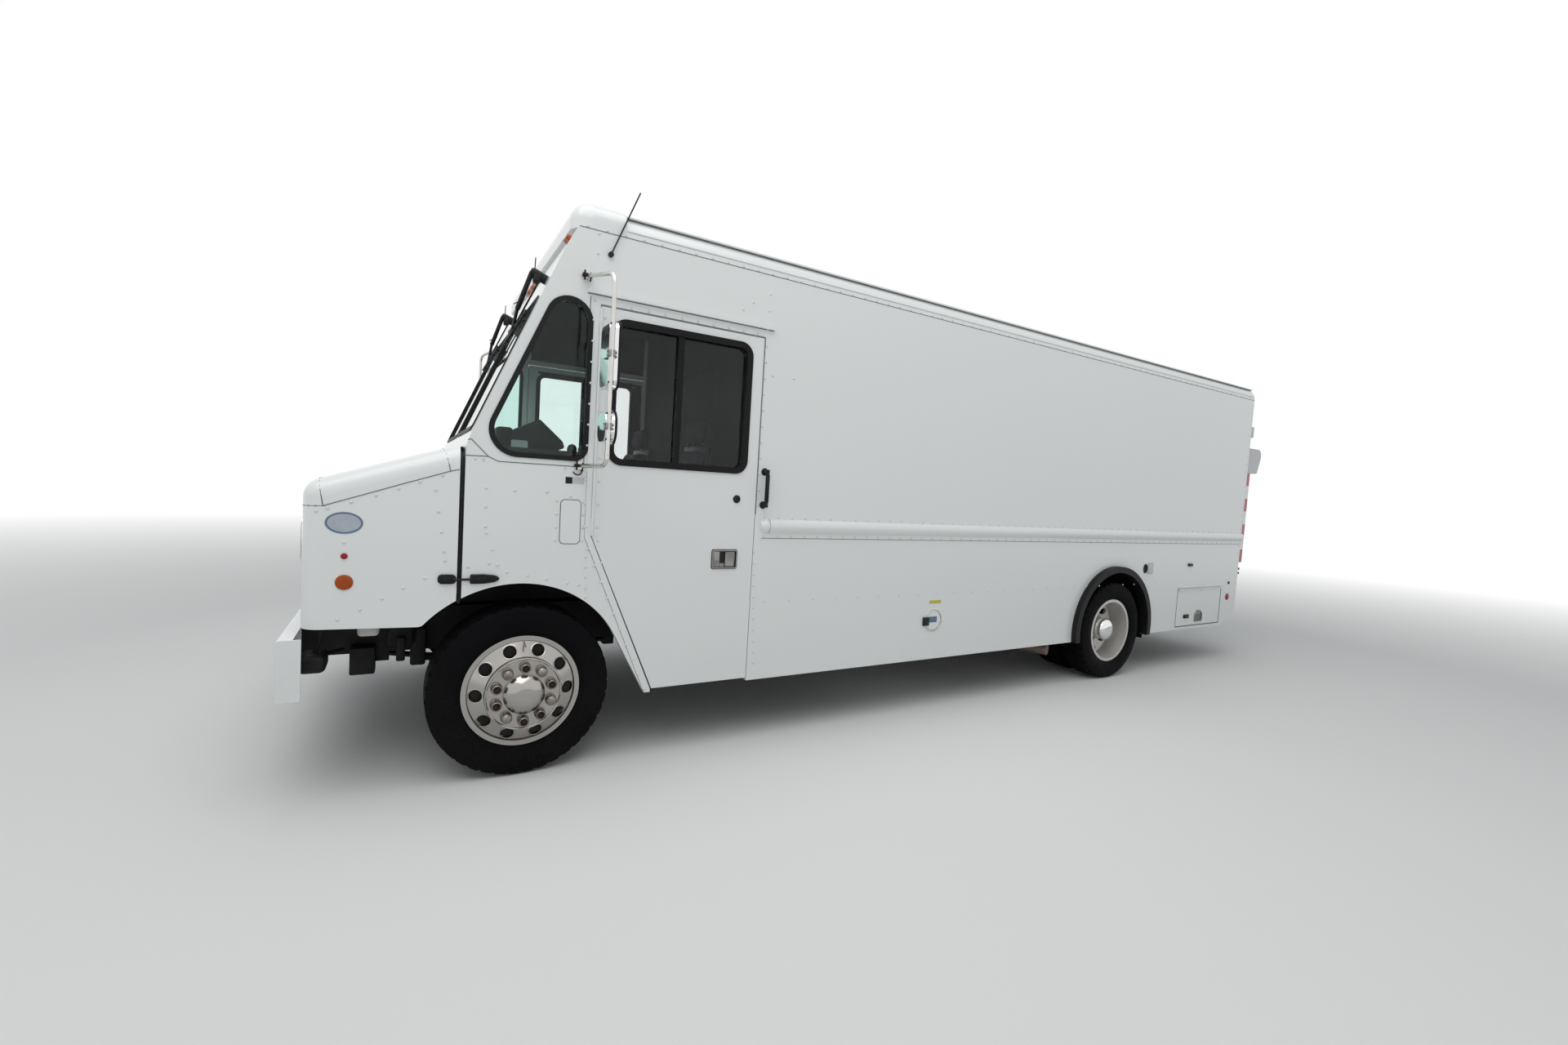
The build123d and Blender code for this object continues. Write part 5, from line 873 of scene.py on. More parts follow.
# Half-round belt rail: station of its front end, middle height, half height and depth with its flange
BELT = (1436, 1386, 45, 30, 4.2)
# Rear arch: clearance over the tyre, shift behind and rise above the axle, and the liner's depth and thickness
ARCH = (98, 7, 18, 44, 5)
# Pad of a hood latch on the cab, tapered to the rear
LATCH_PAD = (
    (-272, 1105), (-276, 1101), (-276, 1061), (-272, 1057), (-210, 1057), (-162, 1064), (-144, 1074), (-140, 1082),
    (-144, 1090), (-162, 1099), (-210, 1105),
)
# Small hook under the left mirror's lower foot
HOOK = ((207, 1655), (214, 1646), (226, 1640), (240, 1640), (250, 1648), (252, 1660), (246, 1672), (236, 1680))
HOOD_SIDE_SEAM = ((-894, 1425), (-576, 1546), (-377, 1620), (-338, 1631))
HOOD_JOINTS = (
    ((-894, 1425), (-897, 1448), (-901, 1472), (-905, 1496), (-909, 1518), (-912, 1538), (-914, 1550)),
    ((-377, 1620), (-383, 1650), (-390, 1680), (-397, 1705), (-403, 1722), (-408, 1731)),
)


class VAN_OT_side_trim(bpy.types.Operator):
    """Gutter lips, sealed joints and painted shadow lines, hood latches, gap seals, reflectors, blank labels, arch
    liners and the locker's edges
    """

    bl_idname = "van.side_trim"
    bl_label = "Side trim"

    def execute(self, context):
        lip = soften(block((1136, 440, 3070), (1172, 7690, 3079)), 2, 2)
        step = bar((1196.5, 445, 2990), (1196.5, 7690, 2990), 3, sides=6)
        done(join(pairs([lip, step])), "gutter_lips", "van", "body_white")
        # Joints from the table, with painted shadow lines under the belt rail and the drip rail
        seams = [bead for points in SIDE_SEAMS_AND_SHADOW_LINES for bead in beads([(side_x + 0.2, *place) for place in points])]
        # Roof joint under the rail; its dark bead is also the painted shadow line under the rail's lower edge
        seams += beads([(side_x + 0.2, 190, 2953), (side_x + 0.2, 7690, 2953)])
        # Painted shadow under the gutter lip
        seams += beads([(1158, 442, 3068.5), (1158, 7690, 3068.5)], 3)
        station, middle, half, depth, flange = BELT
        turns = (0, 0.4, 0.8, 1.2, 1.57, 1.94, 2.34, 2.74, 3.14)
        belt_end = [(side_x + flange + depth * math.sin(a), station, middle + half * math.cos(a)) for a in turns]
        seams += beads(belt_end, 1.2)
        panel = frame_plate(rounded((148, 1262), (259, 1505), 25), side_x, 1.4, 4)
        done(join(pairs(seams + [panel])), "side_seams", "van", "sealant")
        seams = beads([(hood_skin(*place) + 0.2, *place) for place in HOOD_SIDE_SEAM])
        corner = [(-887 - 90 * math.sin(math.radians(turn)), 1425 - turn / 22.5) for turn in (0, 22.5, 45, 67.5, 90)]
        seams += beads([(hood_skin(*place) + 0.2, *place) for place in corner] + [(0, HOOD_ENDS[1], 1421)])
        for joint in HOOD_JOINTS:
            station = joint[-1][0]
            top = hood_at(HOOD_TOPS, station)
            round_over = [(hood_skin(*place) + 0.2, *place) for place in joint]
            seams += beads(round_over + [(hood_at(HOOD_HALVES, station) - HOOD_ROUND, station, top), (0, station, top)])
        done(join(pairs(seams)), "hood_seams", "hood", "sealant")

        gap = [
            soften(block((1166, -332, 955), (1186, -316, 1700)), 5, 2),
            soften(block((0, -332, 1728), (1110, -316, 1748)), 5, 2),
        ]
        done(join(pairs(gap)), "hood_gap_seals", "van", "rubber")

        pad = plate(rounded((-420, 1057), (-338, 1105), 20), 0, 12)
        grip = plate(rounded((-402, 1066), (-358, 1096), 11), 12, 7)
        front = [on_hood(soften(piece, 3, 2)) for piece in (pad, grip)]
        done(join(pairs(front)), "hood_latch_pads", "hood", "rubber")
        pad = soften(plate(LATCH_PAD, side_x, 13), 3, 2)
        rib = soften(plate(rounded((-264, 1071), (-196, 1091), 8), side_x + 13, 7), 2, 2)
        link = bar((side_x + 9, -352, 1080), (side_x + 9, -240, 1080), 6, sides=10)
        knob = turned([(0, 0), (0, 12), (9, 12), (12, 8), (12, 0)], side_x + 12, -232, 1080, steps=16)
        done(join(pairs([pad, rib, link, knob])), "hood_latches", "van", "rubber")

        base = on_hood(plate(ellipse((-810, 1348), 77, 53), 0, 0.8))
        done(base, "oval_label", "hood", "oval_decal")
        ring = on_hood(frame_plate(ellipse((-810, 1348), 74, 50), 0.8, 0.5, 7))
        done(ring, "oval_label_ring", "hood", "blue_decal")
        cup = turned([(0, 0), (0, 14), (5, 14), (7, 11), (7, 0)], 0, -807, 1191, steps=20)
        amber = turned([(0, 0), (0, 36), (4, 36), (6, 33), (6.5, 20), (7, 0)], 0, -805, 1066, steps=36)
        done(join(pairs([on_hood(cup)])), "hood_markers", "hood", "red_lens")
        done(join(pairs([on_hood(amber)])), "hood_reflectors", "hood", "amber_lens")

        ring = turned([(0, 81), (0, 90), (4, 90), (6, 86), (6, 82), (0, 81)], side_x, 2943, 694, steps=40)
        hinge = soften(block((side_x, 2835, 653), (side_x + 16, 2896, 719)), 6, 3)
        done(join([ring]), "fuel_door_ring", "van", "stainless")
        latch = turned([(0, 0), (0, 11), (4, 11), (6, 8), (6, 0)], side_x, 3028, 679, steps=18)
        done(hinge, "fuel_door_hinge", "van", "black_plastic")
        done(latch, "fuel_door_latch", "van", "stainless")
        done(plate(rounded((2900, 674), (2984, 719), 3), side_x, 0.8), "fuel_label", "van", "blue_decal")
        done(plate(rounded((2893, 820), (3015, 845), 4), side_x, 0.8), "fuel_note", "van", "yellow_decal")
        done(plate(rounded((170, 1590), (206, 1626), 2), side_x, 0.8), "side_label_dark", "van", "black_plastic")
        done(plate(rounded((208, 1590), (268, 1626), 2), side_x, 0.8), "side_label_pale", "van", "grey_plastic")
        hook = [bar((side_x + 6, *a), (side_x + 6, *b), 3, sides=8) for a, b in zip(HOOK, HOOK[1:])]
        pin = bar((side_x - 1, *HOOK[-1]), (side_x + 7, *HOOK[-1]), 4, sides=8)
        done(join([*hook, pin]), "mirror_hook", "van", "rubber")

        inlet = dished(ellipse((5790, 1053), 30, 46), side_x, 9, 6, 7)
        done(soften(inlet, 1.5, 1), "air_inlet", "van", "rubber")
        cover = soften(plate(rounded((5836, 1000), (5926, 1106), 16), side_x, 8), 3, 2)
        done(cover, "inlet_cover", "van", "grey_plastic")
        lamp = soften(plate(rounded((6594, 1066), (6674, 1096), 8), side_x, 16), 4, 2)
        done(lamp, "side_lamp", "van", "black_plastic")
        red = turned([(0, 0), (0, 37), (4, 37), (6, 34), (6.5, 20), (7, 0)], side_x, 7500, 708, steps=36)
        dot = turned([(0, 0), (0, 16), (7, 15), (9, 9), (9, 0)], side_x, 7506, 868, steps=20)
        done(join(pairs([red])), "rear_side_markers", "van", "red_lens")
        done(join(pairs([dot])), "vent_buttons", "van", "rubber")

        clearance, shift, lift, depth, thickness = ARCH
        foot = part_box("body_side_left")[0].z * 1000 + 2
        outline = []
        turns = [math.radians(5 * i) for i in range(37)]
        for edge, way in ((0.4, turns), (thickness, turns[::-1])):
            radius = tyre_radius + clearance - edge
            arc = [
                (wheelbase + shift + radius * math.cos(a), axle_height + lift + radius * math.sin(a)) for a in way
            ]
            outline += [(arc[0][0], foot), *arc, (arc[-1][0], foot)]
        done(join(pairs([plate(outline, side_x - depth, depth)])), "arch_liners", "van", "rubber")

        gasket = frame_plate(rounded((6439, 417), (7348, 821), 6), side_x - 7, 5, 9)
        done(gasket, "locker_gasket", "van", "rubber")
        corners = [(6443, 419), (6443, 817), (7347, 817), (7347, 419), (6443, 419)]
        done(join(beads([(side_x + 0.4, *place) for place in corners], 2.6)), "locker_outline", "van", "sealant")
        drip_rail = soften(block((side_x, 6440, 821), (side_x + 9, 7352, 829)), 2, 2)
        done(drip_rail, "locker_drip_rail", "van", "body_white")
        corners = [(5836, 1000), (5836, 1106), (5926, 1106), (5926, 1000), (5836, 1000)]
        done(join(beads([(side_x + 0.4, *place) for place in corners], 1.6)), "inlet_outline", "van", "sealant")
        latch = soften(plate(rounded((6594, 505), (6700, 546), 8), side_x, 8), 2, 2)
        bow = soften(plate(rounded((6608, 513), (6676, 538), 6), side_x + 8, 8), 2, 2)
        done(join([latch, bow]), "locker_latch", "locker_door", "black_plastic")
        shape = [(6826, 460), (6966, 460), (6972, 466), (6972, 540), (6930, 580), (6870, 584), (6820, 540), (6820, 466)]
        lock = dished(shape, side_x, 9, 10, 5)
        done(soften(lock, 1.2, 1), "locker_lock", "locker_door", "handle_steel")
        slats = [soften(block((side_x + 4, 6834, z), (side_x + 7, 6958, z + 7)), 1, 1) for z in (474, 492, 510, 528)]
        done(join(slats), "locker_lock_slats", "locker_door", "black_plastic")
        return {"FINISHED"}


# ---------------------------------------------------------------- doors


class VAN_OT_door_trim(bpy.types.Operator):
    """Paddle handles in steel trays that stand on the cab doors' skin, locks and grab handle feet"""

    bl_idname = "van.door_trim"
    bl_label = "Door trim"

    def execute(self, context):
        x = side_x
        pocket = plate(rounded((1058, 1121), (1220, 1229), 8), x, 1)
        bezel = soften(frame_plate(rounded((1053, 1116), (1225, 1233), 14), x, 8, 9), 1.6, 2)
        panel = soften(plate(rounded((1064, 1127), (1104, 1222), 5), x + 1, 4), 1.2, 2)
        paddle = soften(dished(rounded((1140, 1130), (1204, 1220), 7), x + 1, 8, 6, 3), 1.4, 2)
        lip = soften(plate(rounded((1106, 1127), (1138, 1150), 3), x + 1, 3), 1, 1)
        barrel = turned([(0, 0), (0, 13), (3, 13), (5, 10), (5, 5), (3, 4), (3, 0)], x + 5, 1084, 1166, steps=20)
        lock = turned([(0, 0), (0, 25), (4, 25), (8, 20), (8, 12), (5, 11), (5, 0)], x, 1201, 1550, steps=28)
        outline = frame_plate(rounded((1050, 1113), (1228, 1236), 16), x, 1.6, 5)
        metal = [bezel, panel, paddle, lip, barrel]
        dark = [pocket, lock, outline]
        pull = soften(block((x - 62, 1150, 1580), (x - 48, 1180, 1660)), 4, 2)
        for side, body in ((1, "door_left"), (-1, "door_right")):
            done(join(on_side(metal, side)), body + "_handle", body, "handle_steel")
            done(join(on_side(dark, side)), body + "_handle_pocket", body, "black_plastic")
            done(join(on_side([pull], side)), body + "_inner_pull", body, "black_plastic")
        drop(metal + dark + [pull])

        foot_edge = [(0, 0), (0, 24), (3, 24), (6, 19), (6, 0)]
        feet = [turned(foot_edge, x, 1389, height, steps=24) for height in (1520, 1731)]
        grips = [turned([(-86, 12.4), (-84, 13.6), (84, 13.6), (86, 12.4)], x + 45, 1389, 1625.5, UPWARD, 20)]
        done(join(pairs(feet)), "grab_handle_feet", "van", "black_plastic")
        done(join(pairs(grips)), "grab_handle_grips", "van", "rubber")
        return {"FINISHED"}


# ---------------------------------------------------------------- wheels


# Places round a wheel, counted from the top, where the nut's cover is still on
COVERED_NUTS = (1, 4, 7, 9)
NUTS, NUT_CIRCLE, HAND_HOLE_CIRCLE = 10, 143, 230
# Bodies that turn, and their side
WHEELS = (("wheel_fl", 1), ("wheel_fr", -1), ("wheels_rl", 1), ("wheels_rr", -1))
# Distance from the middle of the nuts' face and of the hub's end
FRONT_FACES, REAR_FACES = (1210, 1268), (950, 1151)
# Drawn edges as (along, radius) points
NUT_EDGE = (
    (0, 0), (0, 29), (4, 29), (6, 27.5), (32, 27), (38, 25), (40, 22.5), (39, 20), (32, 19), (31.5, 0),
)
COVER_EDGE = ((30, 27), (36, 25), (40, 21), (46, 10), (47, 0))
STUD_EDGE = ((0, 0), (0, 19), (0.8, 18.5), (1, 11), (5, 10.5), (6, 8), (6, 0))
DRUM_EDGE = (
    (-70, 126), (-70, 253), (-78, 257), (-92, 234), (-190, 229), (-200, 236), (-212, 236), (-212, 216), (-88, 214),
    (-82, 126), (-70, 126),
)
DOME_EDGE = ((0, 104), (9, 104), (22, 99), (36, 84), (45, 60), (49, 30), (50, 0))


def round_axle(piece, count, station, first=0.0):
    """Copies of a piece in a ring about an axle."""
    middle = at(0, station, axle_height)
    made = []
    for i in range(count):
        twin = copy(piece)
        turn = Matrix.Rotation(math.tau * i / count + math.radians(first), 4, "X")
        twin.data.transform(Matrix.Translation(middle) @ turn @ Matrix.Translation(-middle))
        made.append(twin)
    return made


class VAN_OT_wheel_trim(bpy.types.Operator):
    """Wheel nuts with studs, some still covered, hub rings, hand hole edges, valves, front drums and rear hub caps"""

    bl_idname = "van.wheel_trim"
    bl_label = "Wheel trim"

    def execute(self, context):
        for body, side in WHEELS:
            front = body.startswith("wheel_")
            station = 0 if front else wheelbase
            face, cap = FRONT_FACES if front else REAR_FACES
            top = axle_height + NUT_CIRCLE
            nut = turned(NUT_EDGE, face, station, top, steps=16)
            cover = turned(COVER_EDGE, face, station, top, steps=16)
            stud = turned(STUD_EDGE, face + 31.6, station, top, steps=12)
            nuts = round_axle(nut, NUTS, station)
            covers = round_axle(cover, NUTS, station)
            studs = round_axle(stud, NUTS, station)
            closed = [covers[i] for i in COVERED_NUTS]
            drop([piece for piece in covers if piece not in closed])
            nuts += closed
            edge = turned(
                [(-3, 34.5), (2.2, 34.5), (3.2, 37), (2.2, 40), (-3, 40)],
                face - 43.5, station, axle_height + HAND_HOLE_CIRCLE, (1, 0, 0.5), 22,
            )
            edges = round_axle(edge, 10, station, 18) if front else []
            rings = [
                turned([(0, 182), (5, 184), (7, 188), (5, 192), (0, 194)], face, station, axle_height, steps=64),
                turned([(0, 60), (3, 59), (4, 57), (3, 55), (0, 54)], cap - 9, station, axle_height, steps=40),
            ]
            valve = bar((face - 60, station, axle_height + 262), (face + 6, station, axle_height + 252), 5, sides=10)
            pieces = edges + rings + [valve]
            drop((nut, cover, edge, stud))
            last = turned(DRUM_EDGE if front else DOME_EDGE, face if front else cap - 8, station, axle_height)
            if side < 0:
                for piece in (*pieces, *nuts, *studs, last):
                    flip(piece)
            done(join(nuts), body + "_nuts", body, "nut_steel")
            done(join(pieces), body + "_rings", body, "wheel_alloy")
            done(join(studs), body + "_studs", body, "rusty_steel")
            name, finish = ("_drum", "cast_iron") if front else ("_hub_cap", "chrome")
            done(last, body + name, body, finish)
        return {"FINISHED"}


# ---------------------------------------------------------------- front end

LAMP_CUP_EDGE = ((-44, 62), (-50, 62), (-52, 58), (-50, 54), (-30, 40), (-26, 30), (-26, 0))
BULB_EDGE = ((-20, 0), (-20, 12), (-44, 12), (-52, 9), (-56, 0))


class VAN_OT_headlamps(bpy.types.Operator):
    """Headlamps with bezel, bright bowl, bulb, turn lamp and clear lens, and the screen behind the grille"""

    bl_idname = "van.headlamps"
    bl_label = "Headlamps and grille screen"

    def execute(self, context):
        front = HOOD_ENDS[1]
        bezel = frame_plate(rounded((751, 1131), (1009, 1369), 49, 8), front, -6, 13, "y")
        bowl = plate(rounded((762, 1142), (998, 1358), 38, 8), front + 70, -73, "y")
        pick(bowl, lambda place, normal: normal.y < -0.9)
        inset(4)
        bpy.ops.mesh.extrude_region_move(TRANSFORM_OT_translate={"value": (0, 0.03, 0)})
        inset(26, -0.018)
        inset(26, -0.012)
        bpy.ops.object.mode_set(mode="OBJECT")
        cup = turned(LAMP_CUP_EDGE, 862, front + 64, 1250, REARWARD, 36)
        bulb = turned(BULB_EDGE, 862, front + 64, 1250, REARWARD, 20)
        done(join(pairs([soften(bezel, 2, 2)])), "headlamp_bezels", "hood", "chrome")
        bowls = done(join(pairs([soften(bowl, 6, 3), cup])), "headlamp_bowls", "hood", "chrome")
        done(join(pairs([bulb])), "headlamp_bulbs", "hood", "clear_lens")
        turn = soften(block((944, front + 4, 1160), (990, front + 38, 1340)), 7, 3)
        done(join(pairs([turn])), "turn_lamps", "hood", "amber_lens")
        lens = plate(rounded((762, 1142), (998, 1358), 38, 8), front - 2, -5, "y")
        pick(lens, lambda place, normal: normal.y < -0.9)
        inset(14, 4)
        bpy.ops.object.mode_set(mode="OBJECT")
        done(join(pairs([soften(lens, 2.5, 2)])), "headlamp_lenses", "hood", "clear_lens")
        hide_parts("headlamps")

        wires = [bar((x, front + 27, 934), (x, front + 27, 1396), 1.6, sides=4) for x in range(-504, 505, 14)]
        wires += [bar((-512, front + 30, z), (512, front + 30, z), 1.6, sides=4) for z in range(940, 1396, 14)]
        done(join(wires), "grille_screen", "hood", "black_plastic")
        return {"FINISHED"}


# ---------------------------------------------------------------- mirrors and wipers

SCREEN_SLOPE = 0.4112
SCREEN_LEAN = math.atan(SCREEN_SLOPE)
# Side, station of the tube, and stations of its upper and lower foot on the body
MIRRORS = ((1, 292, 236, 236), (-1, -20, 120, -70))
MIRROR_FEET = (2700, 1690)
# Lower edge, upper edge and corner of the flat mirror and of the round one under it
MIRROR_HEADS = ((2080, 2420, 45), (1800, 1980, 70))
MIRROR_X, TUBE_X = 1443.7, 1548
WIPER_PIVOTS, PIVOT_HEIGHT = (1000, -200), 2690


def on_screen(x, height, standoff):
    """Place standing off the windshield."""
    station = -290 + SCREEN_SLOPE * (height - 1823)
    return (x, station - standoff * math.cos(SCREEN_LEAN), height + standoff * math.sin(SCREEN_LEAN))


def band(side, station, height, half):
    """Band round a mirror's tube, drawn by half its height."""
    edge = [(-half, 9), (-half, 12.5), (half, 12.5), (half, 9)]
    return turned(edge, side * TUBE_X, station, height, UPWARD, 18)


class VAN_OT_mirrors(bpy.types.Operator):
    """Mirror glasses with black rims, clamps and bands on the tubes, clamps at their feet, and wipers"""

    bl_idname = "van.mirrors"
    bl_label = "Mirrors and wipers"

    def execute(self, context):
        glass, rims, clamps, bands, joints = [], [], [], [], []
        for side, station, *feet in MIRRORS:
            middle, back = side * MIRROR_X, station + 45
            for low, high, radius in MIRROR_HEADS:
                outline = rounded((middle - 98, low - 3), (middle + 98, high + 3), radius + 3, 8)
                rims.append(soften(frame_plate(outline, back - 9, 12, 11, "y"), 2, 2))
                outline = rounded((middle - 88, low + 7), (middle + 88, high - 7), radius - 6, 8)
                glass.append(plate(outline, back - 1, 2.4, "y"))
                height = (low + high) / 2
                clamp = block((side * 1533, station - 17, height - 19), (side * 1560.5, station + 17, height + 19))
                clamps.append(soften(clamp, 4, 2))
                for z in (height - 10, height + 10):
                    clamps.append(bar((side * 1550, station - 24, z), (side * 1550, station + 24, z), 5, sides=6))
                bands += [band(side, station, z, 5) for z in (low + 26, high - 26)]
            for foot, height in zip(feet, MIRROR_FEET):
                x = side * (side_x + 20)
                clamp = block((x - 16, foot - 26, height - 9), (x + 16, foot + 26, height + 9))
                bands.append(soften(clamp, 3, 2))
                bands.append(bar((x, foot - 14, height - 24), (x, foot - 14, height + 26), 5, sides=8))
                bands.append(bar((x, foot + 16, height - 30), (x, foot + 16, height + 18), 4, sides=8))
            joints += [band(side, station, z, 16) for z in (2034, 1742)]
        done(join(rims), "mirror_rims", "van", "rubber")
        done(join(glass), "mirror_glasses", "van", "mirror_glass")
        done(join(clamps), "mirror_clamps", "van", "handle_steel")
        done(join(bands), "mirror_foot_clamps", "van", "cast_iron")
        done(join(joints), "mirror_tube_joints", "van", "stainless")

        blades, arms = [], []
        outward = (0, -math.cos(SCREEN_LEAN), math.sin(SCREEN_LEAN))
        cap = [(0, 0), (0, 22), (10, 21), (14, 14), (14, 0)]
        for x in WIPER_PIVOTS:
            blade_x, blade_z = x - 220, PIVOT_HEIGHT - 250
            for way in (1, -1):
                tip = on_screen(blade_x + way * 258, blade_z + way * 50, 12)
                blades.append(bar(on_screen(blade_x, blade_z, 12), tip, 5.5, sides=4))
                tip = on_screen(blade_x + way * 150, blade_z + way * 29, 22)
                arms.append(bar(on_screen(blade_x, blade_z, 36), tip, 4.5, sides=8))
            arms.append(turned(cap, *on_screen(x, PIVOT_HEIGHT, 76), axis=outward, steps=16))
            arms.append(bar(on_screen(x + 30, 2700, 30), on_screen(blade_x + 40, blade_z + 8, 30), 5, sides=8))
            arms.append(bar(on_screen(x - 4, 2700, 70), on_screen(x + 10, 2760, 96), 3, sides=6))
            arms.append(bar(on_screen(x - 50, 2560, 52), on_screen(x - 120, 2530, 84), 3, sides=6))
            arms.append(soften(block((x - 26, -2, 2664), (x + 26, 34, 2716)), 8, 3))
            for share in (-0.8, -0.35, 0.35, 0.8):
                middle = on_screen(blade_x + share * 250, blade_z + share * 49, 20)
                arms.append(soften(block([v - 9 for v in middle], [v + 9 for v in middle]), 3, 2))
        done(join(blades), "wiper_rubbers", "van", "rubber")
        done(join(arms), "wiper_arms", "van", "black_plastic")
        return {"FINISHED"}


# ---------------------------------------------------------------- cab


# Side view of the instrument cowl as (station, height) points
COWL_EDGE = (
    (-58, 1700), (-60, 1837), (-31, 1885), (114, 1960), (250, 1838), (262, 1800), (150, 1745), (60, 1735), (40, 1700),
)


def cushion(low, high, rise):
    """Padded cushion blown up by cloth pressure, by no more than a rise, from a block with rounded edges."""
    pad = soften(block(low, high), 26, 3)
    take(pad)
    mesh = pad.modifiers.new("remesh", "REMESH")
    mesh.mode = "VOXEL"
    mesh.voxel_size = 0.011
    bpy.ops.object.modifier_apply(modifier=mesh.name)
    still = [vertex.co.copy() for vertex in pad.data.vertices]
    cloth = pad.modifiers.new("cloth", "CLOTH")
    cloth.settings.use_pressure = True
    cloth.settings.uniform_pressure_force = 4
    cloth.settings.effector_weights.gravity = 0
    cloth.settings.quality = 5
    cloth.point_cache.frame_start = 1
    cloth.point_cache.frame_end = 20
    for step in range(1, 21):
        bpy.context.scene.frame_set(step)
    bpy.ops.object.modifier_apply(modifier=cloth.name)
    bpy.context.scene.frame_set(1)
    for vertex, was in zip(pad.data.vertices, still):
        move = vertex.co - was
        if move.length > rise / 1000:
            vertex.co = was + move.normalized() * rise / 1000
    smooth = pad.modifiers.new("smooth", "SMOOTH")
    smooth.iterations = 4
    bpy.ops.object.modifier_apply(modifier=smooth.name)
    return pad


class VAN_OT_seats(bpy.types.Operator):
    """Driver's and passenger's seats: padded cushion, back and head rest in black shells"""

    bl_idname = "van.seats"
    bl_label = "Seats"

    def execute(self, context):
        seat = cushion((392, 612, 1214), (808, 1000, 1306), 22)
        back = cushion((400, 0, 0), (800, 96, 560), 22)
        rest = cushion((480, 0, 0), (720, 74, 158), 14)
        shell = soften(block((378, 606, 1178), (822, 1070, 1216)), 14, 3)
        back_shell = soften(block((386, 78, -20), (814, 104, 590)), 10, 3)
        tilt = Matrix.Rotation(-math.atan2(90, 580), 4, "X")
        for piece, station, height in ((back, 994, 1322), (rest, 1104, 1906), (back_shell, 994, 1322)):
            piece.data.transform(Matrix.Translation(-at(0, 0, 0)))
            piece.data.transform(tilt)
            piece.data.transform(Matrix.Translation(at(0, station, height)))
        column = soften(block((520, 720, 912), (680, 930, 1180)), 12, 2)
        foot = soften(block((470, 680, 900), (730, 970, 916)), 5, 2)
        posts = [bar((x, 1126, 1880), (x, 1134, 1950), 8, sides=10) for x in (560, 640)]
        anchors = [soften(block((x - 14, 1010, 1200), (x + 14, 1042, 1262)), 4, 2) for x in (384, 816)]
        hard = [shell, back_shell, column, foot, *posts, *anchors]
        for side, name in ((1, "left"), (-1, "right")):
            for pad, part, fill in ((seat, "cushion", 0.7), (back, "back", 0.7), (rest, "head_rest", 0.85)):
                made = on_side([pad], side)[0]
                take(made)
                finer = made.modifiers.new("finer", "SUBSURF")
                finer.levels = finer.render_levels = 1
                bpy.ops.object.modifier_apply(modifier=finer.name)
                done(made, "seat_" + part + "_" + name, "van", "seat_cloth", angle=60)
                if side > 0 and part == "cushion":
                    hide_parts("seats")
            done(join(on_side(hard, side)), "seat_shell_" + name, "van", "black_plastic")
        drop([seat, back, rest, *hard])
        return {"FINISHED"}


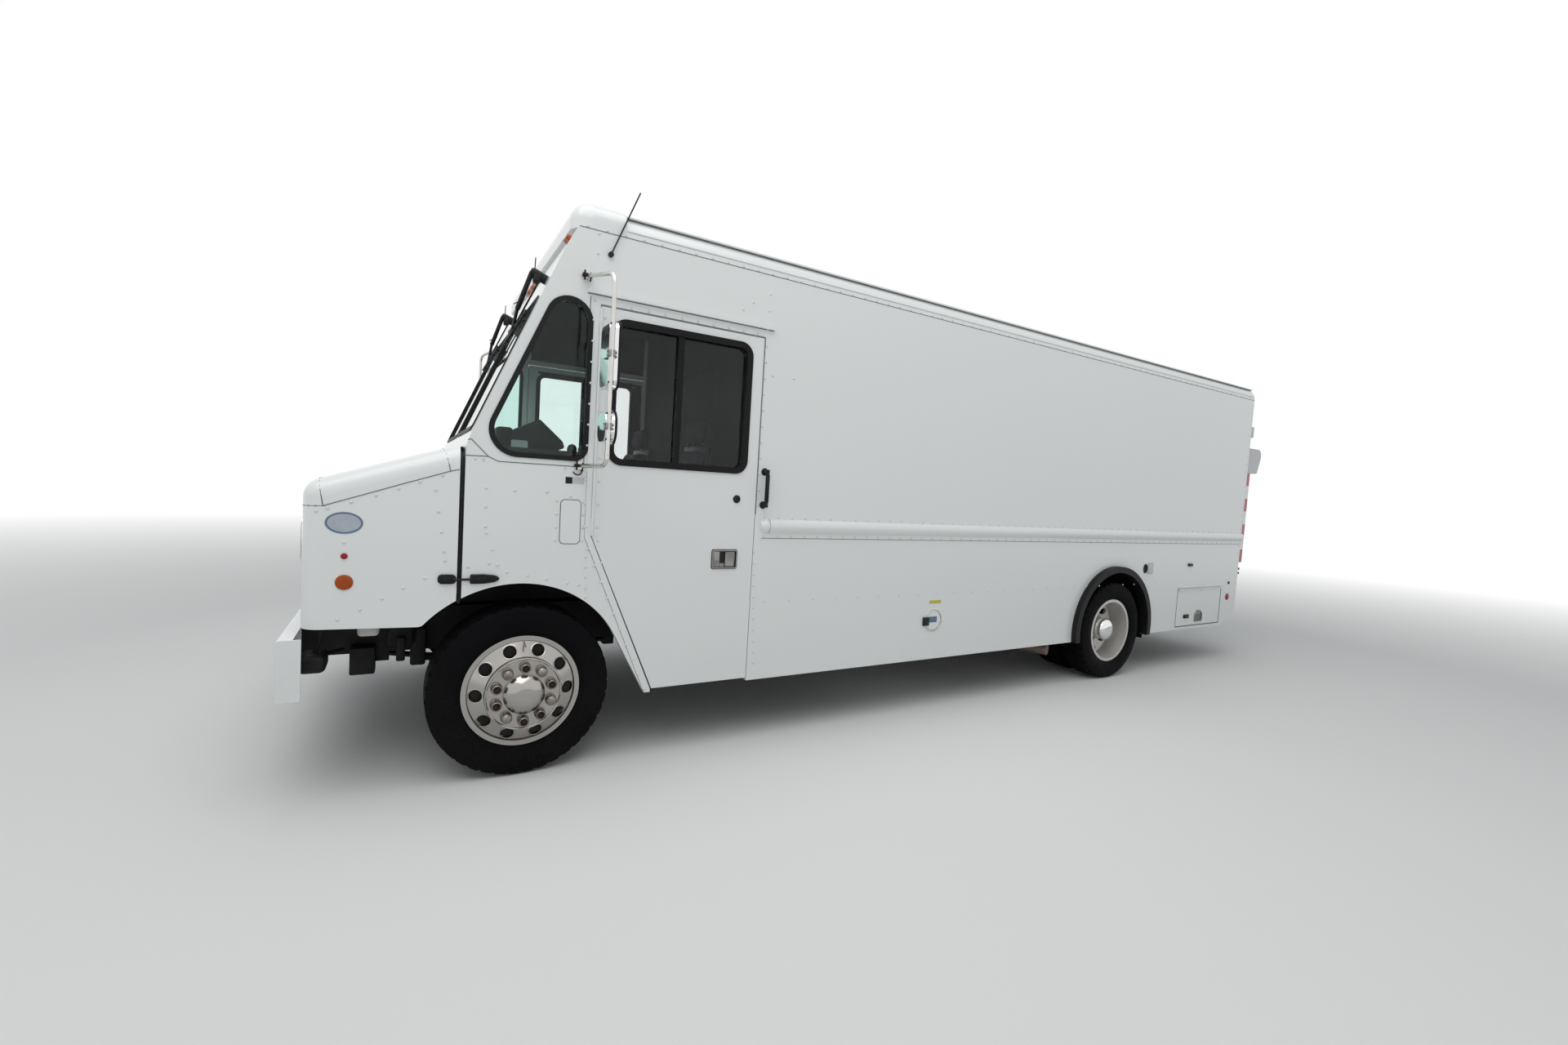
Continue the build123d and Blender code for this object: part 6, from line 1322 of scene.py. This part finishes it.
class VAN_OT_cab_trim(bpy.types.Operator):
    """Gauges, switches, wheel hub, stalk, pedals, vents, sun visors, instrument cowl, window ledges and near-black
    inner panels, their darkness painted shade of the cab's interior
    """

    bl_idname = "van.cab_trim"
    bl_label = "Cab trim"

    def execute(self, context):
        way = (0, 0.9, 0.44)
        dials, faces, hands = [], [], []
        for x, radius in ((690, 58), (560, 58), (770, 30), (770, 30), (620, 26), (500, 26)):
            height = 1700 if radius > 40 else 1690
            edge = [(0, radius), (9, radius), (11, radius - 4), (5, radius - 8), (4, radius - 8)]
            dials.append(turned(edge, x, 84, height, way, 32))
            edge = [(0, 0), (0, radius - 5), (3.5, radius - 6), (3.5, 0)]
            faces.append(turned(edge, x, 84, height, way, 28))
            hands.append(bar((x, 88, height + 2), (x + radius * 0.5, 85, height + radius * 0.35), 1.5, sides=4))
        done(join(dials), "gauge_rings", "van", "chrome")
        done(join(faces), "gauge_faces", "van", "gauge_black")
        done(join(hands), "gauge_hands", "van", "amber_lens")
        panel = [soften(block((-180, 40, 1480), (250, 66, 1620)), 8, 2)]
        panel += [soften(block((x - 15, 60, 1566), (x + 15, 74, 1606)), 3, 2) for x in range(-140, 230, 42)]
        panel += [soften(block((-150, 60, 1492), (60, 72, 1552)), 3, 2)]
        knob = [(0, 0), (0, 15), (14, 14), (18, 10), (18, 0)]
        panel += [turned(knob, x, 66, 1522, REARWARD, 18) for x in (95, 140, 185)]
        for x in (-760, -460, 380):
            panel.append(soften(block((x - 60, 30, 1560), (x + 60, 62, 1620)), 5, 2))
            panel += [block((x - 52, 60, z), (x + 52, 68, z + 4)) for z in range(1568, 1616, 9)]
        panel += [soften(block((-1000, 20, 1440), (-600, 62, 1540)), 8, 2)]
        panel.append(bar((600, 196, 1480), (742, 236, 1500), 7, sides=10))
        panel.append(soften(block((512, 130, 1430), (688, 200, 1476)), 16, 3))
        panel += [soften(block((x - 34, -150, 1136), (x + 34, -136, 1226)), 6, 2) for x in (470, 700)]
        panel += [soften(block((x - 210, -40, 2500), (x + 210, 118, 2516)), 7, 3) for x in (560, -560)]
        done(join(panel), "dash_fittings", "van", "black_plastic")
        box = soften(block((-330, 70, 1392), (-80, 300, 1470)), 16, 3)
        tray = soften(block((130, 90, 1392), (300, 330, 1412)), 6, 2)
        done(join([box, tray]), "engine_cover_tray", "van", "grey_plastic")
        hub = turned([(14, 0), (14, 52), (24, 50), (32, 36), (35, 0)], 600, 300, 1560, (0, 222, 102.5), 32)
        done(hub, "wheel_hub_pad", "steering_wheel", "black_plastic")
        # Inner wall, bulkhead and roof panels, near-black as painted shade of the cab's interior
        lining = [
            soften(block((1149, 335, 2606), (1155, 1325, 2940)), 2, 1),
            soften(block((420, 1360, 904), (1150, 1372, 2940)), 3, 1),
            soften(block((0, 1360, 2500), (430, 1372, 2940)), 3, 1),
        ]
        lining = pairs(lining) + [soften(block((-1140, 260, 2934), (1140, 1358, 2942)), 3, 1)]
        done(join(lining), "cab_lining", "van", "lining")
        cowl = soften(plate(COWL_EDGE, 470, 230), 8, 2)
        side_pod = soften(block((560, -125, 1676), (700, -30, 1896)), 22, 3)
        done(join([cowl, side_pod]), "instrument_cowl", "van", "black_plastic")
        ledge = soften(block((1098, -150, 1640), (1154, 300, 1766)), 14, 3)
        knobs = []
        for station, radius in ((212, 26), (268, 24)):
            edge = [(-6, radius), (18, radius), (34, radius * 0.7), (42, 0)]
            knobs.append(turned(edge, 1126, station, 1766, UPWARD, 20))
        done(join(pairs([ledge, *knobs])), "window_ledges", "van", "black_plastic")
        front = dished(rounded((-42, 1742), (48, 1824), 8), 700, 8, 8, 3)
        done(soften(front, 1.5, 1), "switch_box", "van", "grey_plastic")
        frame_low, frame_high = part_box("door_frame_left")
        sill, head = frame_low.z * 1000 + 14, frame_high.z * 1000 - 14
        first, last = ((v.y - axle_y) * 1000 for v in (frame_low, frame_high))
        panels = [
            soften(block((1149, first + 14, head), (1155, last - 14, 2520)), 2, 1),
            soften(block((1149, first + 40, 1380), (1155, last - 14, sill)), 2, 1),
            soften(block((1149, last - 14, 1380), (1155, 1318, 2520)), 2, 1),
        ]
        # Door inner panels take the same near-black: painted shade
        for side, body in ((1, "door_left"), (-1, "door_right")):
            done(join(on_side(panels, side)), body + "_lining", body, "lining")
        drop(panels)
        done(soften(block((-90, 360, 2898), (90, 480, 2926)), 8, 3), "dome_lamp", "van", "clear_lens")
        return {"FINISHED"}


# ---------------------------------------------------------------- rear

# Place and radius of the rear's round lamps on the left half and in the middle
REAR_LAMPS = (
    (1008, 1010, 54), (1008, 1135, 54), (1008, 1260, 54), (1098, 2880, 30), (150, 2880, 30), (0, 2880, 30),
)
TAPE_TOP, TAPE_STEP, TAPE_STRIPES = 2131, 147, 7


class VAN_OT_rear_trim(bpy.types.Operator):
    """Seals and handles on the rear doors, roof header, lamp lenses, bumper tread, blank plate and corner tape"""

    bl_idname = "van.rear_trim"
    bl_label = "Rear trim"

    def execute(self, context):
        middle = soften(block((-7, rear_station, 912), (7, rear_station + 7, 2754)), 2, 2)
        for side, body in ((1, "rear_door_left"), (-1, "rear_door_right")):
            edge = [(side * 758, 2753), (side * 4, 2753), (side * 4, 913), (side * 758, 913)]
            seal = frame_plate(edge, rear_station, 2.5, 7, "y")
            done(soften(seal, 0.8, 1), body + "_seal", body, "rubber")
        done(middle, "rear_middle_seal", "rear_door_left", "rubber")

        arch = [(-1156, 2955), (1156, 2955), (1149, 2994), (1121, 3036)]
        arch += [(x, 3064 - 28 * (x / 1121) ** 2) for x in range(1000, -1001, -200)] + [(-1121, 3036), (-1149, 2994)]
        header = plate(arch, rear_station - 14, 12, "y")
        done(soften(header, 1.5, 1), "rear_header", "van", "body_white")
        row = [
            bar((x, rear_station - 2, 3000), (x, rear_station + 3, 3000), 6, sides=8, end_radius=3)
            for x in range(-1080, 1081, 120)
        ]
        # Same darker white as the side rivets: painted shade
        done(join(row), "rear_header_rivets", "van", "aged_white")

        lenses, grommets = [], []
        face = rear_station + 16
        for x, height, radius in REAR_LAMPS:
            edge = [(0, radius - 1), (4, radius - 2), (5, radius * 0.86), (9, radius * 0.84)]
            edge += [(10, radius * 0.5), (13, radius * 0.46), (14, 0)]
            lens = turned(edge, x, face, height, REARWARD, 36)
            edge = [(-16, radius + 2), (-16, radius + 13), (-8, radius + 12), (0, radius + 8), (4, radius + 2)]
            edge += [(3, radius), (-16, radius + 2)]
            ring = turned(edge, x, face, height, REARWARD, 36)
            lenses += [lens] if x == 0 else pairs([lens])
            grommets += [ring] if x == 0 else pairs([ring])
        done(join(lenses), "tail_lenses", "van", "red_lens")
        done(join(grommets), "tail_grommets", "van", "rubber")

        plate_back = soften(dished(rounded((-152, 460), (152, 610), 12), 7895, 3, 6, 0.8, "y"), 0.6, 1)
        done(plate_back, "blank_plate", "van", "tape_white")
        lamp = soften(block((-60, 7892, 606), (60, 7920, 628)), 5, 2)
        done(lamp, "plate_lamp", "van", "black_plastic")
        cleat = soften(block((-17, 7716, 600), (17, 7724, 604.5)), 1.5, 1)
        cleats = [copy(cleat, x, s) for s in range(0, 160, 32) for x in range(-1040, 1041, 52)]
        drop([cleat])
        done(join(cleats), "rear_step_tread", "van", "tread_plate")

        posts = pairs([soften(block((1152, 7697, 1096), (1182, 7800, 2134)), 1.5, 1)])
        done(join(posts), "tape_posts", "van", "stainless")
        white, red = [], []
        for i in range(TAPE_STRIPES):
            low = TAPE_TOP - (i + 1) * TAPE_STEP
            stripe = plate(rounded((7716, low), (7796, low + TAPE_STEP - 1), 2, 2), 1182, 0.8)
            (white if i % 2 else red).append(stripe)
        done(join(pairs(white)), "corner_tape_white", "van", "tape_white")
        done(join(pairs(red)), "corner_tape_red", "van", "tape_red")
        stops = pairs([soften(block((1150, 7697, z), (1186, 7765, z + 26)), 4, 2) for z in (960, 1010)])
        done(join(stops), "rear_corner_stops", "van", "black_plastic")

        pulls = [
            soften(block((48, 7716, 1480), (72, 7740, 1640)), 4, 2),
            turned([(0, 0), (0, 20), (6, 19), (10, 14), (10, 0)], 250, 7697, 1560, REARWARD, 20),
            soften(block((232, 7712, 1543), (268, 7736, 1577)), 5, 2),
        ]
        stays = [soften(block((150, 7697, z), (172, 7706, z + 120)), 2, 2) for z in (1130, 2320)]
        done(join(pulls + stays), "rear_handle_left", "rear_door_left", "stainless")
        pull = soften(block((-72, 7716, 1480), (-48, 7740, 1640)), 4, 2)
        done(pull, "rear_handle_right", "rear_door_right", "stainless")
        eye = turned([(0, 0), (0, 20), (2, 19), (2, 8), (0, 7)], 1098, 7802, 2480, REARWARD, 24)
        done(eye, "camera_eye", "van", "gauge_black")
        return {"FINISHED"}


# ---------------------------------------------------------------- below

CHAMBER_EDGE = (
    (-92, 0), (-92, 40), (-84, 62), (-30, 76), (-8, 78), (-8, 86), (8, 86), (8, 78), (40, 76), (84, 60), (92, 38),
    (92, 0),
)
TANK_EDGE = ((-330, 0), (-330, 60), (-300, 112), (300, 112), (330, 60), (330, 0))


class VAN_OT_underbody(bpy.types.Operator):
    """Brake chambers, dampers, spring bolts, steering gear, air tank, washer bottle and step treads"""

    bl_idname = "van.underbody"
    bl_label = "Underbody"

    def execute(self, context):
        iron, black = [], []
        for station in (wheelbase - 230, wheelbase + 210):
            black += pairs([turned(CHAMBER_EDGE, 560, station, 560, REARWARD, 28)])
            iron += pairs([bar((560, station - 60, 560), (560, wheelbase, 480), 11, sides=10)])
        for middle, spring_x, low, reach in ((0, 394, 360, 62), (wheelbase, 461, 366, 118)):
            for station in (middle - reach, middle + reach):
                for x in (spring_x - 44, spring_x + 44):
                    bolt = bar((x, station, low), (x, station, low + 170), 8, sides=8)
                    nut = bar((x, station, low - 4), (x, station, low + 14), 15, sides=6)
                    iron += pairs([bolt, nut])
        rear_damper = ((640, wheelbase - 120, 420), (520, wheelbase - 330, 720))
        for foot, head in (((520, -90, 440), (470, -250, 700)), rear_damper):
            black += pairs([bar(foot, tuple(f + (h - f) * 0.55 for f, h in zip(foot, head)), 30, sides=18)])
            iron += pairs([bar(foot, head, 12, sides=12)])
        gear = soften(block((446, -640, 600), (560, -500, 770)), 22, 3)
        cap = turned([(-20, 0), (-20, 44), (0, 48), (10, 40), (10, 0)], 503, -645, 690, (0, -1, 0), 24)
        arm = soften(block((560, -590, 520), (590, -545, 660)), 10, 2)
        iron += [gear, cap, arm]
        hanger = soften(block((446, -520, 470), (520, -440, 690)), 14, 2)
        iron += pairs([hanger])
        horn = soften(block((432, -812, 446), (540, -690, 600)), 10, 2)
        black += pairs([horn])
        housing = soften(block((840, -990, 600), (1010, -880, 690)), 26, 4)
        pick(housing, lambda place, normal: normal.y < -0.9)
        inset(10, -8)
        bpy.ops.object.mode_set(mode="OBJECT")
        bracket = bar((925, -930, 690), (925, -900, 800), 12, sides=10)
        black += [housing, bracket, bar((840, -930, 650), (700, -830, 640), 10, sides=10)]
        black.append(turned(TANK_EDGE, -560, 4300, 620, REARWARD, 32))
        black += [soften(block((-640, s, 600), (-430, s + 24, 745)), 4, 2) for s in (4100, 4480)]
        done(join(iron), "spring_and_brake_parts", "van", "cast_iron")
        done(join(black), "chambers_and_dampers", "van", "chassis")
        bottle = soften(block((860, -756, 770), (1010, -662, 838)), 20, 3)
        done(bottle, "washer_bottle", "van", "milky_plastic")
        treads = [
            block((x, s, 431.5), (x + 338, s + 7, 435)) for x in (798, -1136) for s in range(740, 1320, 29)
        ]
        done(join([soften(t, 1, 1) for t in treads]), "step_treads", "van", "tread_plate")
        return {"FINISHED"}


# ---------------------------------------------------------------- stage

FLOOR_SIZE, FLOOR_SHADE = 160, (0.78, 0.78, 0.77, 1)
# Distances in metres between which the floor fades into the white behind the van
FLOOR_FADE = (7.0, 20.0)
SKY_SHADE, WHITE = (0.93, 0.97, 1.0, 1), (1.0, 1.0, 1.0, 1)
LAMP_PLACE, LAMP_SIZE = (3.0, -4.0, 9.0), 9.0
# Camera's place in metres, and its yaw, pitch and roll in degrees, solved from the photograph
CAMERA_PLACE = (4.7294, -4.0498, 1.6324)
CAMERA_TURN = (31.0195, -3.0519, 3.4476)


class VAN_OT_stage(bpy.types.Operator):
    """Pale floor, soft light and the camera at the photograph's viewing angle"""

    bl_idname = "van.stage"
    bl_label = "Stage"

    def execute(self, context):
        settings = context.scene.van_stage
        start()
        bpy.ops.mesh.primitive_plane_add(size=FLOOR_SIZE, location=(0, 0, 0))
        floor = bpy.context.object
        floor.name = "floor"
        material = bpy.data.materials.new("stage_floor")
        material.use_nodes = True
        tree = material.node_tree
        shader = tree.nodes["Principled BSDF"]
        shader.inputs["Base Color"].default_value = FLOOR_SHADE
        shader.inputs["Roughness"].default_value = 0.9
        glow = tree.nodes.new("ShaderNodeEmission")
        place = tree.nodes.new("ShaderNodeTexCoord")
        far = tree.nodes.new("ShaderNodeVectorMath")
        far.operation = "LENGTH"
        fade = tree.nodes.new("ShaderNodeMapRange")
        fade.inputs["From Min"].default_value, fade.inputs["From Max"].default_value = FLOOR_FADE
        mix = tree.nodes.new("ShaderNodeMixShader")
        tree.links.new(place.outputs["Object"], far.inputs[0])
        tree.links.new(far.outputs["Value"], fade.inputs["Value"])
        tree.links.new(fade.outputs[0], mix.inputs[0])
        tree.links.new(shader.outputs[0], mix.inputs[1])
        tree.links.new(glow.outputs[0], mix.inputs[2])
        tree.links.new(mix.outputs[0], tree.nodes["Material Output"].inputs["Surface"])
        floor.data.materials.append(material)

        world = bpy.data.worlds.new("studio")
        world.use_nodes = True
        context.scene.world = world
        tree = world.node_tree
        light = tree.nodes["Background"]
        light.inputs["Strength"].default_value = settings.sky
        seen = tree.nodes.new("ShaderNodeBackground")
        rays = tree.nodes.new("ShaderNodeLightPath")
        either = tree.nodes.new("ShaderNodeMath")
        either.operation = "MAXIMUM"
        clear = tree.nodes.new("ShaderNodeMath")
        clear.operation = "MAXIMUM"
        mix = tree.nodes.new("ShaderNodeMixShader")
        light.inputs["Color"].default_value = SKY_SHADE
        seen.inputs["Color"].default_value = WHITE
        tree.links.new(rays.outputs["Is Camera Ray"], either.inputs[0])
        tree.links.new(rays.outputs["Is Glossy Ray"], either.inputs[1])
        tree.links.new(either.outputs[0], clear.inputs[0])
        tree.links.new(rays.outputs["Is Transmission Ray"], clear.inputs[1])
        tree.links.new(clear.outputs[0], mix.inputs[0])
        tree.links.new(light.outputs[0], mix.inputs[1])
        tree.links.new(seen.outputs[0], mix.inputs[2])
        tree.links.new(mix.outputs[0], tree.nodes["World Output"].inputs["Surface"])

        bpy.ops.object.light_add(type="AREA", location=LAMP_PLACE)
        lamp = bpy.context.object
        lamp.name = "overhead_lamp"
        lamp.data.size = LAMP_SIZE
        lamp.data.energy = settings.lamp
        lamp.rotation_euler = (Vector((0, 0, 1)) - lamp.location).to_track_quat("-Z", "Y").to_euler()

        data = bpy.data.cameras.new("camera")
        camera = bpy.data.objects.new("camera", data)
        context.scene.collection.objects.link(camera)
        data.lens = settings.lens
        data.sensor_width = 36.0
        data.clip_end = 400.0
        yaw, pitch, roll = (math.radians(a) for a in CAMERA_TURN)
        look = Vector((-math.cos(pitch) * math.cos(yaw), math.cos(pitch) * math.sin(yaw), math.sin(pitch)))
        right = look.cross(Vector(UPWARD)).normalized()
        up = right.cross(look)
        across = right * math.cos(roll) + up * math.sin(roll)
        over = up * math.cos(roll) - right * math.sin(roll)
        turn = Matrix((across, over, -look)).transposed()
        camera.matrix_world = Matrix.Translation(CAMERA_PLACE) @ turn.to_4x4()
        context.scene.camera = camera
        context.scene.view_settings.view_transform = "Standard"
        return {"FINISHED"}


# ---------------------------------------------------------------- panel


class VAN_PT_panel(bpy.types.Panel):
    """Lists the van's pieces and their settings"""

    bl_label = "Step van"
    bl_idname = "VAN_PT_panel"
    bl_space_type = "VIEW_3D"
    bl_region_type = "UI"
    bl_category = "Step van"

    def draw(self, context):
        for group in (context.scene.van_paint, context.scene.van_trim, context.scene.van_stage):
            box = self.layout.box()
            for key in group.bl_rna.properties.keys():
                if key not in ("rna_type", "name"):
                    box.prop(group, key)
        for operator in OPERATORS:
            self.layout.operator(operator.bl_idname)


OPERATORS = (
    VAN_OT_finishes,
    VAN_OT_tyres,
    VAN_OT_rivets,
    VAN_OT_side_trim,
    VAN_OT_door_trim,
    VAN_OT_wheel_trim,
    VAN_OT_headlamps,
    VAN_OT_mirrors,
    VAN_OT_seats,
    VAN_OT_cab_trim,
    VAN_OT_rear_trim,
    VAN_OT_underbody,
    VAN_OT_stage,
)
CLASSES = (VanPaint, VanTrim, VanStage, *OPERATORS, VAN_PT_panel)


def register():
    for kind in CLASSES:
        bpy.utils.register_class(kind)
    bpy.types.Scene.van_paint = PointerProperty(type=VanPaint)
    bpy.types.Scene.van_trim = PointerProperty(type=VanTrim)
    bpy.types.Scene.van_stage = PointerProperty(type=VanStage)


def unregister():
    for name in ("van_paint", "van_trim", "van_stage"):
        delattr(bpy.types.Scene, name)
    for kind in reversed(CLASSES):
        bpy.utils.unregister_class(kind)


def main():
    """Build everything in order."""
    register()
    for operator in OPERATORS:
        group, name = operator.bl_idname.split(".")
        getattr(getattr(bpy.ops, group), name)()


if __name__ == "__main__":
    main()
